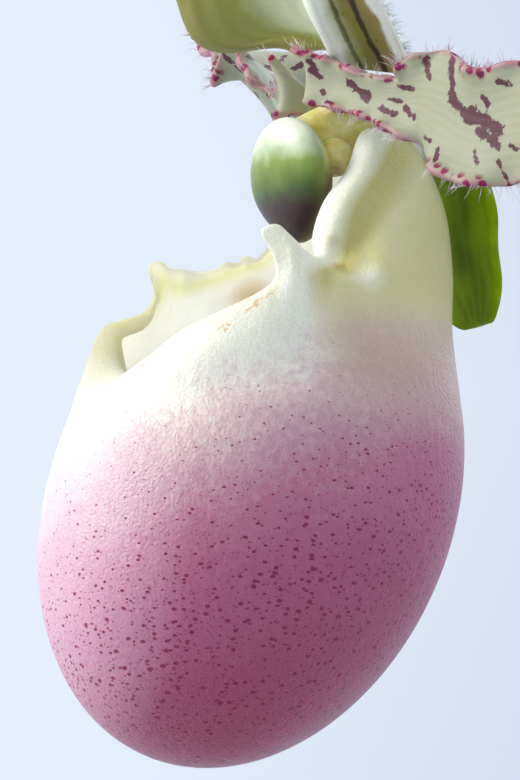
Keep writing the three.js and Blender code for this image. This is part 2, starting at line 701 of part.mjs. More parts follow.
// A ribbon petal: a sheet between its two margins, with waved edges beyond its foot.
// hand is 1 for the left petal and -1 for the right.
function petal({ hand, rise, sweep, twist }) {
  const upper = guideCurve(PETAL_UPPER);
  const lower = guideCurve(PETAL_LOWER);
  const xAxis = new THREE.Vector3(1, 0, 0);
  const sheet = (s, t) => {
    const top = upper.getPoint(s);
    const bottom = lower.getPoint(s);
    const middle = top.clone().add(bottom).multiplyScalar(0.5);
    const turn = THREE.MathUtils.degToRad(twist) * THREE.MathUtils.smoothstep(s, 0.14, 0.7);
    const across = bottom.sub(top).applyAxisAngle(xAxis, turn);
    const along = upper.getPoint(Math.min(s + 0.02, 1)).sub(upper.getPoint(Math.max(s - 0.02, 0)));
    const facing = along.applyAxisAngle(xAxis, turn).cross(across).normalize();
    const wave = PETAL_WAVE * Math.sin(s * PETAL_WAVES * 2 * Math.PI + (t > 0 ? 1.3 : 0));
    const frill = wave * Math.abs(t) ** 3 * THREE.MathUtils.smoothstep(s, 0.2, 0.4) * (1 - s ** 4);
    const cup = PETAL_CUP * (1 - t * t) * (1 - s) * THREE.MathUtils.smoothstep(s, 0, 0.15);
    const point = middle.addScaledVector(across, t / 2).addScaledVector(facing, frill + cup);
    point.x *= hand;
    point.y += sweep * s ** 1.9;
    point.z += rise * Math.max(s - RISE_START, 0) ** 1.3;
    return point;
  };
  return blade(sheet, 24, 5, PETAL_THICKNESS);
}

// Dorsal sepal: a hood that leans forward over the column, with its sides brought forward
// and its margins rolled back
function dorsalSepal() {
  const spine = guideCurve(DORSAL_SPINE);
  const sheet = (s, t) => {
    const centre = spine.getPoint(s);
    const along = spine.getTangent(s);
    const lift = THREE.MathUtils.lerp(0.3, 1, THREE.MathUtils.smoothstep(s, 0, 0.35));
    const forward = new THREE.Vector3(0, -along.z, along.y * lift).normalize();
    const body = Math.sqrt(Math.max(1 - ((s - 0.42) / 0.6) ** 2, 0.012));
    const spread = THREE.MathUtils.smoothstep(s, 0, 0.3);
    const wide = SEPAL_HALF_WIDTH * body * THREE.MathUtils.lerp(SEPAL_FOOT_WIDTH, 1, spread);
    const opening = THREE.MathUtils.smoothstep(s, 0.3, 0.95);
    const hood = THREE.MathUtils.lerp(SEPAL_FOOT_HOOD, SEPAL_HOOD, spread) * (1 - 0.72 * opening);
    const side = Math.abs(t);
    const ridge = THREE.MathUtils.lerp(SEPAL_RIDGE, 1, opening);
    const profile = Math.sin(Math.min(side / ridge, 1) * (Math.PI / 2)) ** 2;
    const rolled = THREE.MathUtils.lerp(SEPAL_FOOT_ROLL, SEPAL_ROLL, THREE.MathUtils.smoothstep(s, 0, 0.25));
    const rollBack = rolled * THREE.MathUtils.smoothstep(side, 0.6, 1) * (1 - opening);
    const drop = SEPAL_DROP * profile * (1 - THREE.MathUtils.smoothstep(s, 0, 0.2));
    const tuck = 0.5 * Math.max(side - SEPAL_RIDGE, 0) * (1 - opening);
    const onRight = t < 0 ? profile : 0;
    const raised = SEPAL_RIGHT_RAISE * onRight * (1 - THREE.MathUtils.smoothstep(s, 0, 0.35));
    centre.x = Math.sign(t) * wide * (side - tuck);
    centre.addScaledVector(forward, hood * (profile - rollBack));
    centre.y -= SEPAL_RIGHT_REACH * onRight * THREE.MathUtils.smoothstep(s, 0.1, 0.4);
    const corner = t > 0 ? SEPAL_CORNER_DROP * THREE.MathUtils.smoothstep(side, 0.6, 1) : 0;
    centre.z += raised - drop - corner * (1 - THREE.MathUtils.smoothstep(s, 0, 0.25));
    return centre;
  };
  return blade(sheet, 14, 12, PETAL_THICKNESS);
}

// Synsepal: the two lower sepals grown together, a plain blade that hangs behind the lip
function synsepal() {
  const sheet = (s, t) => {
    const body = Math.sqrt(Math.max(1 - ((s - 0.46) / 0.57) ** 2, 0.02));
    const [y, z] = SYNSEPAL_FOOT;
    const curved = y + 1.8 * s * s - 0.35 * t * t * body;
    return new THREE.Vector3(SYNSEPAL_HALF_WIDTH * body * t, curved, z - SYNSEPAL_LENGTH * s);
  };
  return blade(sheet, 8, 4, PETAL_THICKNESS);
}

// A closed bud on its short stalk, at the top of the flower stem
function bud() {
  const stem = stalk(BUD_STALK, () => BUD_STALK_RADIUS, 5, 8);
  return geometryOf(joined([stem, egg(BUD_HALF_SIZES, BUD_TILT, BUD_CENTRE, 10)]));
}

const TERRACOTTA = 0xb5653c;
const BARK_BROWN = 0x6b4630;
const ROOT_BROWN = 0x7d6a4c;
const LEAF_GREEN = 0x4c7a2e;
const STEM_PURPLE = 0x4a3030;
const BRACT_GREEN = 0x6f8a3c;
const BUD_GREEN = 0x8a9a4a;
const LIP_PINK = 0xb57a93;
const PETAL_CREAM = 0xd9d6b8;
const SEPAL_OLIVE = 0x8c8a4a;
const SYNSEPAL_GREEN = 0x6f8f2a;
const COLUMN_OLIVE = 0x9aa044;

piece('pot', clayPot(), TERRACOTTA, 0.85);
piece('bark_chips', barkChips(), BARK_BROWN, 0.9);
piece('rhizome_and_roots', geometryOf(rootstock(0)), ROOT_BROWN, 0.8);

function fan(letter, growth, turn, leaves) {
  leaves.forEach((shape, nest) => {
    const side = nest % 2 ? -1 : 1;
    const geometry = strapLeaf(growth, turn, nest, leaves.length, side, shape);
    piece(`leaf_${letter}${nest + 1}`, geometry, LEAF_GREEN, 0.5);
  });
}
fan('a', GROWTH_A, THREE.MathUtils.degToRad(4), LEAVES_A);
fan('b', GROWTH_B, THREE.MathUtils.degToRad(-3), LEAVES_B);

piece('flower_stem', flowerStem(), STEM_PURPLE, 0.6);

const sheathFoot = stemCentre(SHEATH_FOOT);
const sheathAim = stemCentre(SHEATH_FOOT + 20).sub(sheathFoot);
piece('stem_sheath', bract(sheathFoot, sheathAim, new THREE.Vector3(0, 1, 0), SHEATH), BRACT_GREEN, 0.6);

const bractFoot = new THREE.Vector3(0, GROWTH_A.y - 0.9, STEM_NODE + 1.3);
const bractAim = new THREE.Vector3(0, -0.73, 0.68);
const bractUp = new THREE.Vector3(0, 0.68, 0.73);
piece('flower_bract', bract(bractFoot, bractAim, bractUp, FLOWER_BRACT), BRACT_GREEN, 0.6);

piece('ovary', inFlower(ovary()), STEM_PURPLE, 0.6);
piece('bud', bud(), BUD_GREEN, 0.5);
piece('dorsal_sepal', inFlower(dorsalSepal()), SEPAL_OLIVE, 0.5);
piece('synsepal', inFlower(synsepal()), SYNSEPAL_GREEN, 0.5);
piece('petal_left', inFlower(petal(LEFT_PETAL)), PETAL_CREAM, 0.5);
piece('petal_right', inFlower(petal(RIGHT_PETAL)), PETAL_CREAM, 0.5);
piece('lip', inFlower(lipShell()), LIP_PINK, 0.4);
piece('column', inFlower(column()), COLUMN_OLIVE, 0.5);

export default plant;
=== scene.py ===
# A potted slipper orchid in bloom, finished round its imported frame.
# The sections follow the plant from its pot up to the open flower; the studio and the camera come last.
import math
import random
from functools import partial

import bpy
from mathutils import Matrix, Vector, geometry, noise


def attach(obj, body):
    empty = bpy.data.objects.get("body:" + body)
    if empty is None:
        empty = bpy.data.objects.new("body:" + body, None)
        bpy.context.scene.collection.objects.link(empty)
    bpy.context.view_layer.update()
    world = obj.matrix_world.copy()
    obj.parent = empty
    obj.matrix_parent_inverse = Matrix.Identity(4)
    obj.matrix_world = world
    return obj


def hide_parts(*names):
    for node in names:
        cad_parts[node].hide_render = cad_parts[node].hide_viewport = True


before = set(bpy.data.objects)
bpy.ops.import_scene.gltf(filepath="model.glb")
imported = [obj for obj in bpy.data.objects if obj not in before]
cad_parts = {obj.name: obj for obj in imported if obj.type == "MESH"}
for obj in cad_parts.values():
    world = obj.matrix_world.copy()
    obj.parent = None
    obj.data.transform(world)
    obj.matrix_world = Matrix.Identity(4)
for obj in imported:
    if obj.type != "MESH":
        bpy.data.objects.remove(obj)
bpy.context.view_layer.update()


# Clay pot
# A thrown pot of unglazed terracotta: a tapered wall, a thick rolled rim and five drain holes.
# Turning lines run round it, and lime from hard water has dried on it as pale bloom.
MM = 0.001
POT_PROFILE = [
    (42, 1), (45.5, 25), (49, 50), (53.8, 82.4), (54.4, 83), (58.4, 83.1), (59.4, 84.2), (59.8, 92),
    (60, 102.6), (59.3, 104.4), (57.8, 105), (56, 105), (54.7, 104.2), (54, 102.6), (50.6, 80),
    (44, 40), (37.4, 7),
]
POT_FOOT = 41
POT_FLOOR = 6
POT_SIDES = 112
DRAIN_HOLES = 5
DRAIN_RADIUS = 4.5
DRAIN_CIRCLE = 25
POT_EDGE = 0.35


def linear(hex_colour):
    """The linear colour of an sRGB hex value."""
    parts = [int(hex_colour[place:place + 2], 16) / 255 for place in (1, 3, 5)]
    return [part / 12.92 if part <= 0.04045 else ((part + 0.055) / 1.055) ** 2.4 for part in parts] + [1]


def add(tree, kind, inputs=(), stops=(), give=0, **settings):
    """One shader node with its inputs (values, hex colours or sockets), a ramp's stops and its settings.

    It gives one output, by its place or name, or all of them where give is None.
    """
    made = tree.nodes.new("ShaderNode" + kind)
    for name, value in settings.items():
        setattr(made, name, value)
    for socket, value in dict(inputs).items():
        if isinstance(value, bpy.types.NodeSocket):
            tree.links.new(value, made.inputs[socket])
        else:
            made.inputs[socket].default_value = linear(value) if isinstance(value, str) else value
    if stops:
        elements = made.color_ramp.elements
        elements.remove(elements[1])
        elements[0].position, elements[0].color = stops[0][0], linear(stops[0][1])
        for place, colour in stops[1:]:
            elements.new(place).color = linear(colour)
    return made.outputs if give is None else made.outputs[give]


# What sets a Mix node to mix colours, and the output that then gives them
IN_COLOUR = {"data_type": "RGBA", "give": 2}


def new_material(name, **surface):
    """A material whose shader is set to what is the same all over, and the call that adds a node to it."""
    material = bpy.data.materials.new(name)
    material.use_nodes = True
    shader = material.node_tree.nodes["Principled BSDF"]
    for socket, value in surface.items():
        shader.inputs[socket.replace("_", " ")].default_value = value
    return material, partial(add, material.node_tree)


def surfaced(material, colour, normal=None):
    """The material, with its colour and its bumps led to its shader."""
    tree = material.node_tree
    for source, socket in ((colour, "Base Color"), (normal, "Normal")):
        if source:
            tree.links.new(source, tree.nodes["Principled BSDF"].inputs[socket])
    return material


def tinted(node, colour, tint, value, start, end, strength=1.0):
    """A colour that turns to a tint as a value runs from start to end, as far as strength at most."""
    share = node("MapRange", {"Value": value, 1: start, 2: end, 4: strength})
    return node("Mix", {0: share, 6: colour, 7: tint}, **IN_COLOUR)


def pick(*pieces):
    """Selects these pieces alone, with the first as the active one."""
    bpy.ops.object.select_all(action="DESELECT")
    for piece in pieces:
        piece.select_set(True)
    bpy.context.view_layer.objects.active = pieces[0]


def apply(piece, kind, **settings):
    """One modifier, set and applied."""
    pick(piece)
    modifier = piece.modifiers.new(kind.title(), kind)
    for name, value in settings.items():
        setattr(modifier, name, value)
    bpy.ops.object.modifier_apply(modifier=modifier.name)


def close_up(piece, distance=0.02 * MM):
    """Merges what meets and turns every face outwards."""
    pick(piece)
    bpy.ops.object.mode_set(mode="EDIT")
    bpy.ops.mesh.select_all(action="SELECT")
    bpy.ops.mesh.remove_doubles(threshold=distance)
    bpy.ops.mesh.normals_make_consistent(inside=False)
    bpy.ops.object.mode_set(mode="OBJECT")
    bpy.ops.object.shade_smooth()


def with_material(piece, material):
    """A piece with a material of its own, which it keeps when it is joined to another."""
    piece.data.materials.clear()
    piece.data.materials.append(material)
    return piece


def settle(piece, name, slot, *nodes):
    """Names a finished piece and lets it stand for its nodes; the slot is not used."""
    piece.name = name
    piece.data.name = name
    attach(piece, "root")
    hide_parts(*nodes)


bpy.ops.object.select_all(action="DESELECT")
bpy.ops.mesh.primitive_circle_add(vertices=POT_SIDES, radius=POT_FOOT * MM, fill_type="NGON")
pot = bpy.context.object
bpy.ops.object.mode_set(mode="EDIT")
bpy.ops.mesh.select_all(action="SELECT")
radius, height = POT_FOOT, 0
for next_radius, next_height in POT_PROFILE:
    bpy.ops.mesh.extrude_region_move(TRANSFORM_OT_translate={"value": (0, 0, (next_height - height) * MM)})
    scale = next_radius / radius
    bpy.ops.transform.resize(value=(scale, scale, 1), center_override=(0, 0, 0))
    radius, height = next_radius, next_height
bpy.ops.mesh.extrude_region_move(TRANSFORM_OT_translate={"value": (0, 0, (POT_FLOOR - height) * MM)})
bpy.ops.transform.resize(value=(0.97, 0.97, 1), center_override=(0, 0, 0))
bpy.ops.object.mode_set(mode="OBJECT")
close_up(pot)
for hole in range(DRAIN_HOLES):
    angle = 2 * math.pi * hole / DRAIN_HOLES
    spot = Vector((math.cos(angle), math.sin(angle), 0)) * DRAIN_CIRCLE * MM
    bpy.ops.mesh.primitive_cylinder_add(vertices=24, radius=DRAIN_RADIUS * MM, depth=30 * MM, location=spot)
    drill = bpy.context.object
    apply(pot, "BOOLEAN", object=drill, operation="DIFFERENCE", solver="EXACT")
    bpy.data.objects.remove(drill)
apply(pot, "BEVEL", width=POT_EDGE * MM, segments=2, limit_method="ANGLE", angle_limit=math.radians(50))
bpy.ops.object.shade_smooth_by_angle(angle=math.radians(40))


def terracotta():
    """Unglazed terracotta, thrown and fired: matt, grainy, with turning lines and dried lime."""
    material, node = new_material("unglazed_terracotta", Roughness=0.88, Specular_IOR_Level=0.25)
    place = node("TexCoord", give="Object")
    # Turning lines are about 2 mm apart round the axis, so only the height is drawn out
    rings = node("Mapping", {"Vector": place, "Scale": (20, 20, 500)})
    turning = node("TexNoise", {"Vector": rings, "Scale": 1.0, "Detail": 2})
    # Grit of about 0.6 mm in the clay
    grit = node("TexNoise", {"Vector": place, "Scale": 1600, "Detail": 4})
    cloud = node("TexNoise", {"Vector": place, "Scale": 32, "Detail": 5, "Roughness": 0.6})
    fired = node("ValToRGB", {"Fac": cloud}, stops=[(0.3, "#8f4a2e"), (0.55, "#b0623e"), (0.75, "#c07a54")])
    # Lime bloom gathers on the rim and low on the wall, where water dries last
    height = node("SeparateXYZ", {"Vector": place}, give="Z")
    rim = node("MapRange", {"Value": height, 1: 0.07, 2: 0.103})
    foot = node("MapRange", {"Value": height, 1: 0.03, 2: 0.0})
    wet = node("Math", {0: rim, 1: foot}, operation="ADD")
    bloom = node("TexNoise", {"Vector": place, "Scale": 75, "Detail": 8, "Roughness": 0.68})
    patch = node("Math", {0: bloom, 1: wet}, operation="MULTIPLY")
    limed = tinted(node, fired, "#d9c9b6", patch, 0.28, 0.62, 0.6)
    colour = tinted(node, limed, "#7a3e28", grit, 0.62, 0.72, 0.5)
    lines = node("Bump", {"Height": turning, "Strength": 0.5, "Distance": 0.0006})
    grain = node("Bump", {"Height": grit, "Normal": lines, "Strength": 0.35, "Distance": 0.0003})
    return surfaced(material, colour, grain)


settle(with_material(pot, terracotta()), "clay_pot", "terracotta", "pot")


# Bark
# Broken chips of fir bark, the potting mix of orchids, which fill the pot to a low mound.
# Each chip is a split flake with rough faces; they lie as they fell, flat side mostly down.
BARK_TOP = 86
BARK_EDGE = 50.2
BARK_FOOT = 36.6
BARK_CHIPS = 210
CHIP_SHAPES = 9
CHIP_SIZES = ((10, 17), (6, 11), (2.6, 5))
CHIP_TILT = 0.22
CHIP_LAYER = 3.6
MOUND_HEIGHT = 4.2
GOLDEN_ANGLE = 2.39996
BARK_SEED = 41
SEAT_GAP = 0.3


def in_place(piece):
    """Puts a piece's place into its mesh."""
    pick(piece)
    bpy.ops.object.transform_apply(location=True, rotation=True, scale=True)


def joined(*pieces):
    """Several pieces as one."""
    pick(*pieces)
    bpy.ops.object.join()
    return pieces[0]


draw = random.Random(BARK_SEED)
chip_shapes = []
for shape in range(CHIP_SHAPES):
    bpy.ops.object.select_all(action="DESELECT")
    bpy.ops.mesh.primitive_cube_add(size=1)
    chip = bpy.context.object
    chip.scale = Vector([draw.uniform(*size) for size in CHIP_SIZES]) * MM
    in_place(chip)
    bpy.ops.object.mode_set(mode="EDIT")
    bpy.ops.mesh.select_all(action="SELECT")
    bpy.ops.mesh.subdivide(number_cuts=2, fractal=0.9, fractal_along_normal=0.2, seed=shape + 3)
    bpy.ops.object.mode_set(mode="OBJECT")
    apply(chip, "BEVEL", width=0.5 * MM, segments=1, limit_method="ANGLE", angle_limit=math.radians(40))
    chip_shapes.append(chip)

bpy.ops.mesh.primitive_cone_add(
    vertices=48, radius1=BARK_FOOT * MM, radius2=(BARK_EDGE - 1) * MM, depth=(BARK_TOP - 12) * MM,
    location=(0, 0, (BARK_TOP + 1) / 2 * MM),
)
bark = bpy.context.object
in_place(bark)
tone = bark.data.attributes.new("tone", "FLOAT", "POINT")
tone.data.foreach_set("value", [0.1] * len(bark.data.vertices))
chips = [bark]
for count in range(BARK_CHIPS):
    shape = chip_shapes[count % CHIP_SHAPES]
    chip = bpy.data.objects.new("chip", shape.data.copy())
    bpy.context.collection.objects.link(chip)
    reach = (BARK_EDGE - 6.5) * math.sqrt((count + 0.5) / BARK_CHIPS)
    angle = count * GOLDEN_ANGLE + draw.uniform(-0.2, 0.2)
    mound = MOUND_HEIGHT * (1 - (reach / BARK_EDGE) ** 2)
    layer = draw.random()
    height = BARK_TOP - 4 + mound + CHIP_LAYER * layer
    chip.location = Vector((reach * math.cos(angle), reach * math.sin(angle), height)) * MM
    chip.rotation_euler = (draw.gauss(0, CHIP_TILT), draw.gauss(0, CHIP_TILT), draw.uniform(0, math.tau))
    tone = chip.data.attributes.new("tone", "FLOAT", "POINT")
    tone.data.foreach_set("value", [draw.random()] * len(chip.data.vertices))
    chips.append(chip)
for shape in chip_shapes:
    bpy.data.objects.remove(shape)
in_place(joined(*chips))
bpy.ops.object.shade_smooth_by_angle(angle=math.radians(25))


def fir_bark():
    """Fir bark, split and dried: red-brown layers with a grey outer skin, rough and dull."""
    material, node = new_material("split_fir_bark", Roughness=0.9, Specular_IOR_Level=0.25)
    place = node("TexCoord", give="Object")
    tone = node("Attribute", attribute_name="tone", give="Fac")
    # The cork layers are about 1 mm thick, so the grain is drawn fine across and long along
    layers = node("Mapping", {"Vector": place, "Scale": (260, 260, 1000)})
    grain = node("TexNoise", {"Vector": layers, "Scale": 1.0, "Detail": 6, "Roughness": 0.65})
    rough = node("TexNoise", {"Vector": place, "Scale": 900, "Detail": 4})
    shade = node("Math", {0: grain, 1: tone}, operation="ADD")
    colour = node("ValToRGB", {"Fac": node("MapRange", {"Value": shade, 1: 0.3, 2: 1.5})}, stops=[
        (0.0, "#26170f"), (0.3, "#4a2c1c"), (0.6, "#6d452c"),
        (0.82, "#8a6243"), (1.0, "#a08668"),
    ])
    split = node("Bump", {"Height": grain, "Strength": 0.8, "Distance": 0.0008})
    cork = node("Bump", {"Height": rough, "Normal": split, "Strength": 0.5, "Distance": 0.0004})
    return surfaced(material, colour, cork)


settle(with_material(bark, fir_bark()), "bark_bed", "bark", "bark_chips")


# Rhizome and roots
# A short creeping rhizome joins the two growths, and thick woolly roots arch from them into the bark.
# Living root skin is a brown felt of dead cells, paler on the roots that stay dry.
CROWN_TOP = 90
CROWN_RADIUS = 12
CROWN_DEPTH = 22
GROWTH_A = Vector((0, 12, 0))
GROWTH_B = Vector((3, -27, 0))
ROOTS = [
    [(-4, 18, 85), (-14, 27, 88), (-24, 31, 83), (-31, 33, 66)],
    [(6, 16, 84), (17, 24, 89), (27, 26, 85), (35, 25, 69)],
    [(-3, -31, 84), (-13, -36, 88), (-22, -36, 83), (-28, -34, 67)],
    [(9, -30, 84), (19, -33, 88), (27, -31, 84), (34, -27, 69)],
]
RHIZOME = [(0, 12, 76), (2.5, -8, 73), (3, -27, 76)]
RHIZOME_RADIUS = 4.5
ROOT_RADIUS = 1.9


def smooth_line(points):
    """A function of 0 to 1 that runs through the points as a bent wire would."""
    points = [Vector(point) for point in points]
    padded = [2 * points[0] - points[1], *points, 2 * points[-1] - points[-2]]
    last = len(points) - 1

    def at(share):
        place = min(max(share, 0), 1) * last
        index = min(int(place), last - 1)
        part = place - index
        before, start, end, after = padded[index:index + 4]
        into = max((start - before).length, 1e-4) ** 0.5
        span = max((end - start).length, 1e-4) ** 0.5
        beyond = max((after - end).length, 1e-4) ** 0.5
        leave = ((start - before) / into - (end - before) / (into + span)) * span + (end - start)
        arrive = (end - start) - ((after - start) / (span + beyond) - (after - end) / beyond) * span
        bend = -3 * start + 3 * end - 2 * leave - arrive
        return start + leave * part + bend * part ** 2 + (2 * start - 2 * end + leave + arrive) * part ** 3

    return at


def shaped_grid(along, across, place):
    """A flat grid whose points are moved to place(s, t), in mm, with s and t from 0 to 1."""
    bpy.ops.object.select_all(action="DESELECT")
    bpy.ops.mesh.primitive_grid_add(x_subdivisions=along, y_subdivisions=across, size=1)
    grid = bpy.context.object
    for vertex in grid.data.vertices:
        vertex.co = place(vertex.co.x + 0.5, vertex.co.y + 0.5) * MM
    return grid


def tube(points, radius_at, along, around):
    """A round stalk through the points, in mm, with a point at each end."""
    line = smooth_line(points)

    def place(s, t):
        inner = min(max((s * (along + 2) - 1) / along, 0), 1)
        ahead = line(min(inner + 0.01, 1)) - line(max(inner - 0.01, 0))
        across = Vector((1, 0, 0) if abs(ahead.normalized().x) < 0.8 else (0, 1, 0))
        aside = ahead.cross(across).normalized()
        above = ahead.cross(aside).normalized()
        closed = 0 if s < 0.5 / (along + 2) or s > 1 - 0.5 / (along + 2) else 1
        turn = math.tau * t
        radius = closed * radius_at(inner, turn)
        return line(inner) + radius * (aside * math.cos(turn) + above * math.sin(turn))

    stalk = shaped_grid(along + 2, around, place)
    close_up(stalk, 0.005 * MM)
    return stalk


def woolly(radius):
    """The radius of a root or rhizome, uneven as it grew."""
    def radius_at(share, turn):
        return radius * (1 + 0.09 * noise.noise(Vector((share * 14, math.cos(turn), math.sin(turn)))))

    return radius_at


def crown_radius(share, turn):
    """The foot of a growth, ringed where old leaves sat."""
    return CROWN_RADIUS * (0.9 + 0.1 * math.sin(share * 26)) - 0.1


stocks = [tube(RHIZOME, woolly(RHIZOME_RADIUS), along=24, around=16)]
for root in ROOTS:
    stocks.append(tube(root, woolly(ROOT_RADIUS), along=40, around=14))
for growth in (GROWTH_A, GROWTH_B):
    foot = growth + Vector((0, 0, CROWN_TOP - CROWN_DEPTH))
    head = growth + Vector((0, 0, CROWN_TOP))
    line = [foot, foot.lerp(head, 0.4), foot.lerp(head, 0.8), head]
    stocks.append(tube(line, crown_radius, along=24, around=32))
rootstock = joined(*stocks)


def root_skin():
    """Living orchid root: a dry matt felt of dead brown cells, paler in clouds."""
    material, node = new_material("woolly_root_skin", Roughness=0.85, Sheen_Weight=0.3)
    place = node("TexCoord", give="Object")
    cloud = node("TexNoise", {"Vector": place, "Scale": 160, "Detail": 5})
    # The felt's fibres are about 0.3 mm apart
    felt = node("TexNoise", {"Vector": place, "Scale": 3200, "Detail": 3})
    colour = node("ValToRGB", {"Fac": cloud}, stops=[(0.3, "#4c3620"), (0.5, "#76593a"), (0.72, "#a08a66")])
    nap = node("Bump", {"Height": felt, "Strength": 0.7, "Distance": 0.0003})
    return surfaced(material, colour, nap)


settle(with_material(rootstock, root_skin()), "rootstock", "root", "rhizome_and_roots")


# Leaves
# Thick leathery straps in two fans, each leaf folded round the next at its foot and keeled below.
# A faint chequer of dark and light green runs between the lengthwise veins; the foot is flushed purple.
LEAF_THICKNESS = 0.9
LEAF_NEST_STEP = 1.3
LEAF_INNER_SPACING = 3.3
LEAF_INNER_OFFSET = 5.8
LEAVES_A = [(150, 17, 108, 10), (182, 18, 96, 12), (196, 18, 84, 9), (176, 17, 66, 8), (140, 15, 46, 5)]
LEAVES_B = [(138, 16, 112, -12), (168, 17, 98, -10), (172, 17, 78, -9), (138, 15, 52, -6)]
FANS = {"a": (GROWTH_A, 4, LEAVES_A), "b": (GROWTH_B, -3, LEAVES_B)}
SPINE_STEPS = 90


def smoothstep(value, low, high):
    """0 below low, 1 above high, and a smooth rise between."""
    share = min(max((value - low) / (high - low), 0), 1)
    return share * share * (3 - 2 * share)


def strap(growth, turn, nest, nest_count, length, half_width, lean, drift):
    """The sheet of one leaf, folded at its foot and opening to a shallow keel as it arches out."""
    inward = nest_count - 1 - nest
    spacing = LEAF_INNER_SPACING + LEAF_NEST_STEP * inward
    reach = LEAF_INNER_OFFSET + LEAF_NEST_STEP * inward
    height = CROWN_TOP + SEAT_GAP
    side = -1 if nest % 2 else 1
    along = Vector((math.cos(turn), math.sin(turn), 0)) * side
    sideways = Vector((-math.sin(turn), math.cos(turn), 0))

    def lean_at(s):
        free = smoothstep(s, 0.05 + 0.03 * nest, 1)
        early = smoothstep(s, 0.03 + 0.05 * nest, 0.55 + 0.05 * nest)
        return math.radians(lean * (0.55 * free + 0.45 * early))

    spine = [(reach, height)]
    for step in range(SPINE_STEPS):
        angle = lean_at((step + 0.5) / SPINE_STEPS)
        reach += math.sin(angle) * length / SPINE_STEPS
        height += math.cos(angle) * length / SPINE_STEPS
        spine.append((reach, height))

    def place(s, across):
        t = 2 * across - 1
        index = min(int(s * SPINE_STEPS), SPINE_STEPS - 1)
        part = s * SPINE_STEPS - index
        out = spine[index][0] + part * (spine[index + 1][0] - spine[index][0])
        up = spine[index][1] + part * (spine[index + 1][1] - spine[index][1])
        widen = 0.42 + 0.58 * smoothstep(s, 0.08 + 0.04 * nest, 0.5 + 0.07 * nest)
        taper = math.sqrt(max(1 - ((s - 0.7) / 0.305) ** 2, 0.004)) if s > 0.7 else 1
        fold = math.radians(90 - 73 * smoothstep(s, 0.06 + 0.055 * nest, 0.34 + 0.06 * nest))
        arm = abs(t) * half_width * widen * taper
        bent = min(arm, spacing * fold)
        straight = arm - bent
        wide = spacing * math.sin(bent / spacing) + straight * math.cos(fold)
        deep = spacing * (1 - math.cos(bent / spacing)) + straight * math.sin(fold)
        ripple = 0.35 * smoothstep(s, 0.3, 0.6) * t * t * noise.noise(Vector((s * 7, t, nest + side)))
        angle = lean_at(s)
        point = Vector((growth.x, growth.y, 0))
        point += along * (out - (deep + ripple) * math.cos(angle))
        point.z = up + (deep + ripple) * math.sin(angle)
        return point + sideways * (math.copysign(wide, t) + drift * s * s)

    return place


def thicken(sheet, thickness):
    """Gives a sheet its thickness, half to each side, and rounds its edge."""
    apply(sheet, "SOLIDIFY", thickness=thickness * MM, offset=0, use_even_offset=True)
    close_up(sheet, 0.001 * MM)
    apply(sheet, "SUBSURF", levels=1, render_levels=1)


def stripes(node, across, count):
    """Lines along a strip: 1 on a line and -1 between two."""
    return node("Math", {0: node("Math", {0: across, 1: count}, operation="MULTIPLY")}, operation="SINE")


def from_middle(node, across):
    """How far a place is from the middle of a strip, up to 0.5 at its edges."""
    return node("Math", {0: node("Math", {0: across, 1: 0.5}, operation="SUBTRACT")}, operation="ABSOLUTE")


def leaf_skin():
    """A living strap leaf: waxed, leathery, satin, with lengthwise veins under a faint chequer."""
    material, node = new_material("waxed_strap_leaf", Roughness=0.38, Coat_Weight=0.15, Coat_Roughness=0.3)
    strip = node("SeparateXYZ", {"Vector": node("UVMap")}, give=None)
    place = node("TexCoord", give="Object")
    # About twelve veins each side of the keel, 1.5 mm apart
    vein = stripes(node, strip["Y"], 150)
    # The chequer's patches are about 9 mm long and 4 mm wide
    grid = node("Mapping", {"Vector": node("UVMap"), "Scale": (20, 9, 1)})
    chequer = node("TexNoise", {"Vector": grid, "Scale": 1.0, "Detail": 4, "Roughness": 0.62})
    colour = node("ValToRGB", {"Fac": chequer}, stops=[
        (0.34, "#27481c"), (0.5, "#39622a"), (0.64, "#557f3c"),
    ])
    keeled = tinted(node, colour, "#7c9a55", from_middle(node, strip["Y"]), 0.022, 0.0, 0.7)
    # The foot of each leaf is flushed with purple, and its very tip has dried
    flushed = tinted(node, keeled, "#6d6350", strip["X"], 0.2, 0.0)
    colour = tinted(node, flushed, "#9a8a50", strip["X"], 0.985, 1.0, 0.7)
    ribbed = node("Bump", {"Height": vein, "Strength": 0.25, "Distance": 0.0003})
    # Leather grain of about 0.5 mm
    grain = node("TexNoise", {"Vector": place, "Scale": 1900, "Detail": 2})
    pored = node("Bump", {"Height": grain, "Normal": ribbed, "Strength": 0.2, "Distance": 0.0002})
    return surfaced(material, colour, pored)


leaf_material = leaf_skin()
for letter, (growth, turn, leaves) in FANS.items():
    for nest, (length, half_width, lean, drift) in enumerate(leaves):
        sheet = strap(growth, math.radians(turn), nest, len(leaves), length, half_width, lean, drift)
        leaf = shaped_grid(64, 14, sheet)
        thicken(leaf, LEAF_THICKNESS)
        with_material(leaf, leaf_material)
        settle(leaf, f"strap_leaf_{letter}{nest + 1}", "leaf", f"leaf_{letter}{nest + 1}")


# Flower stem and its sheath
# An upright stem, green under a dark purple felt of short stiff hairs, with a dry boat-shaped sheath
# that clasps it half way up.
STEM_FOOT = CROWN_TOP + SEAT_GAP
STEM_NODE = 310
STEM_TOP = 322
STEM_RADIUS = 2.2
STEM_TOP_RADIUS = 1.6
SHEATH_FOOT = 178
BRACT_THICKNESS = 0.55
STEM_HAIRS = 4200
HAIR_SIDES = 3


def stem_centre(height):
    """The middle of the stem at a height, with the slight sway it grew with."""
    share = (height - STEM_FOOT) / (STEM_NODE - STEM_FOOT)
    return Vector((2.2 * share * math.sin(share * math.tau), GROWTH_A.y, height))


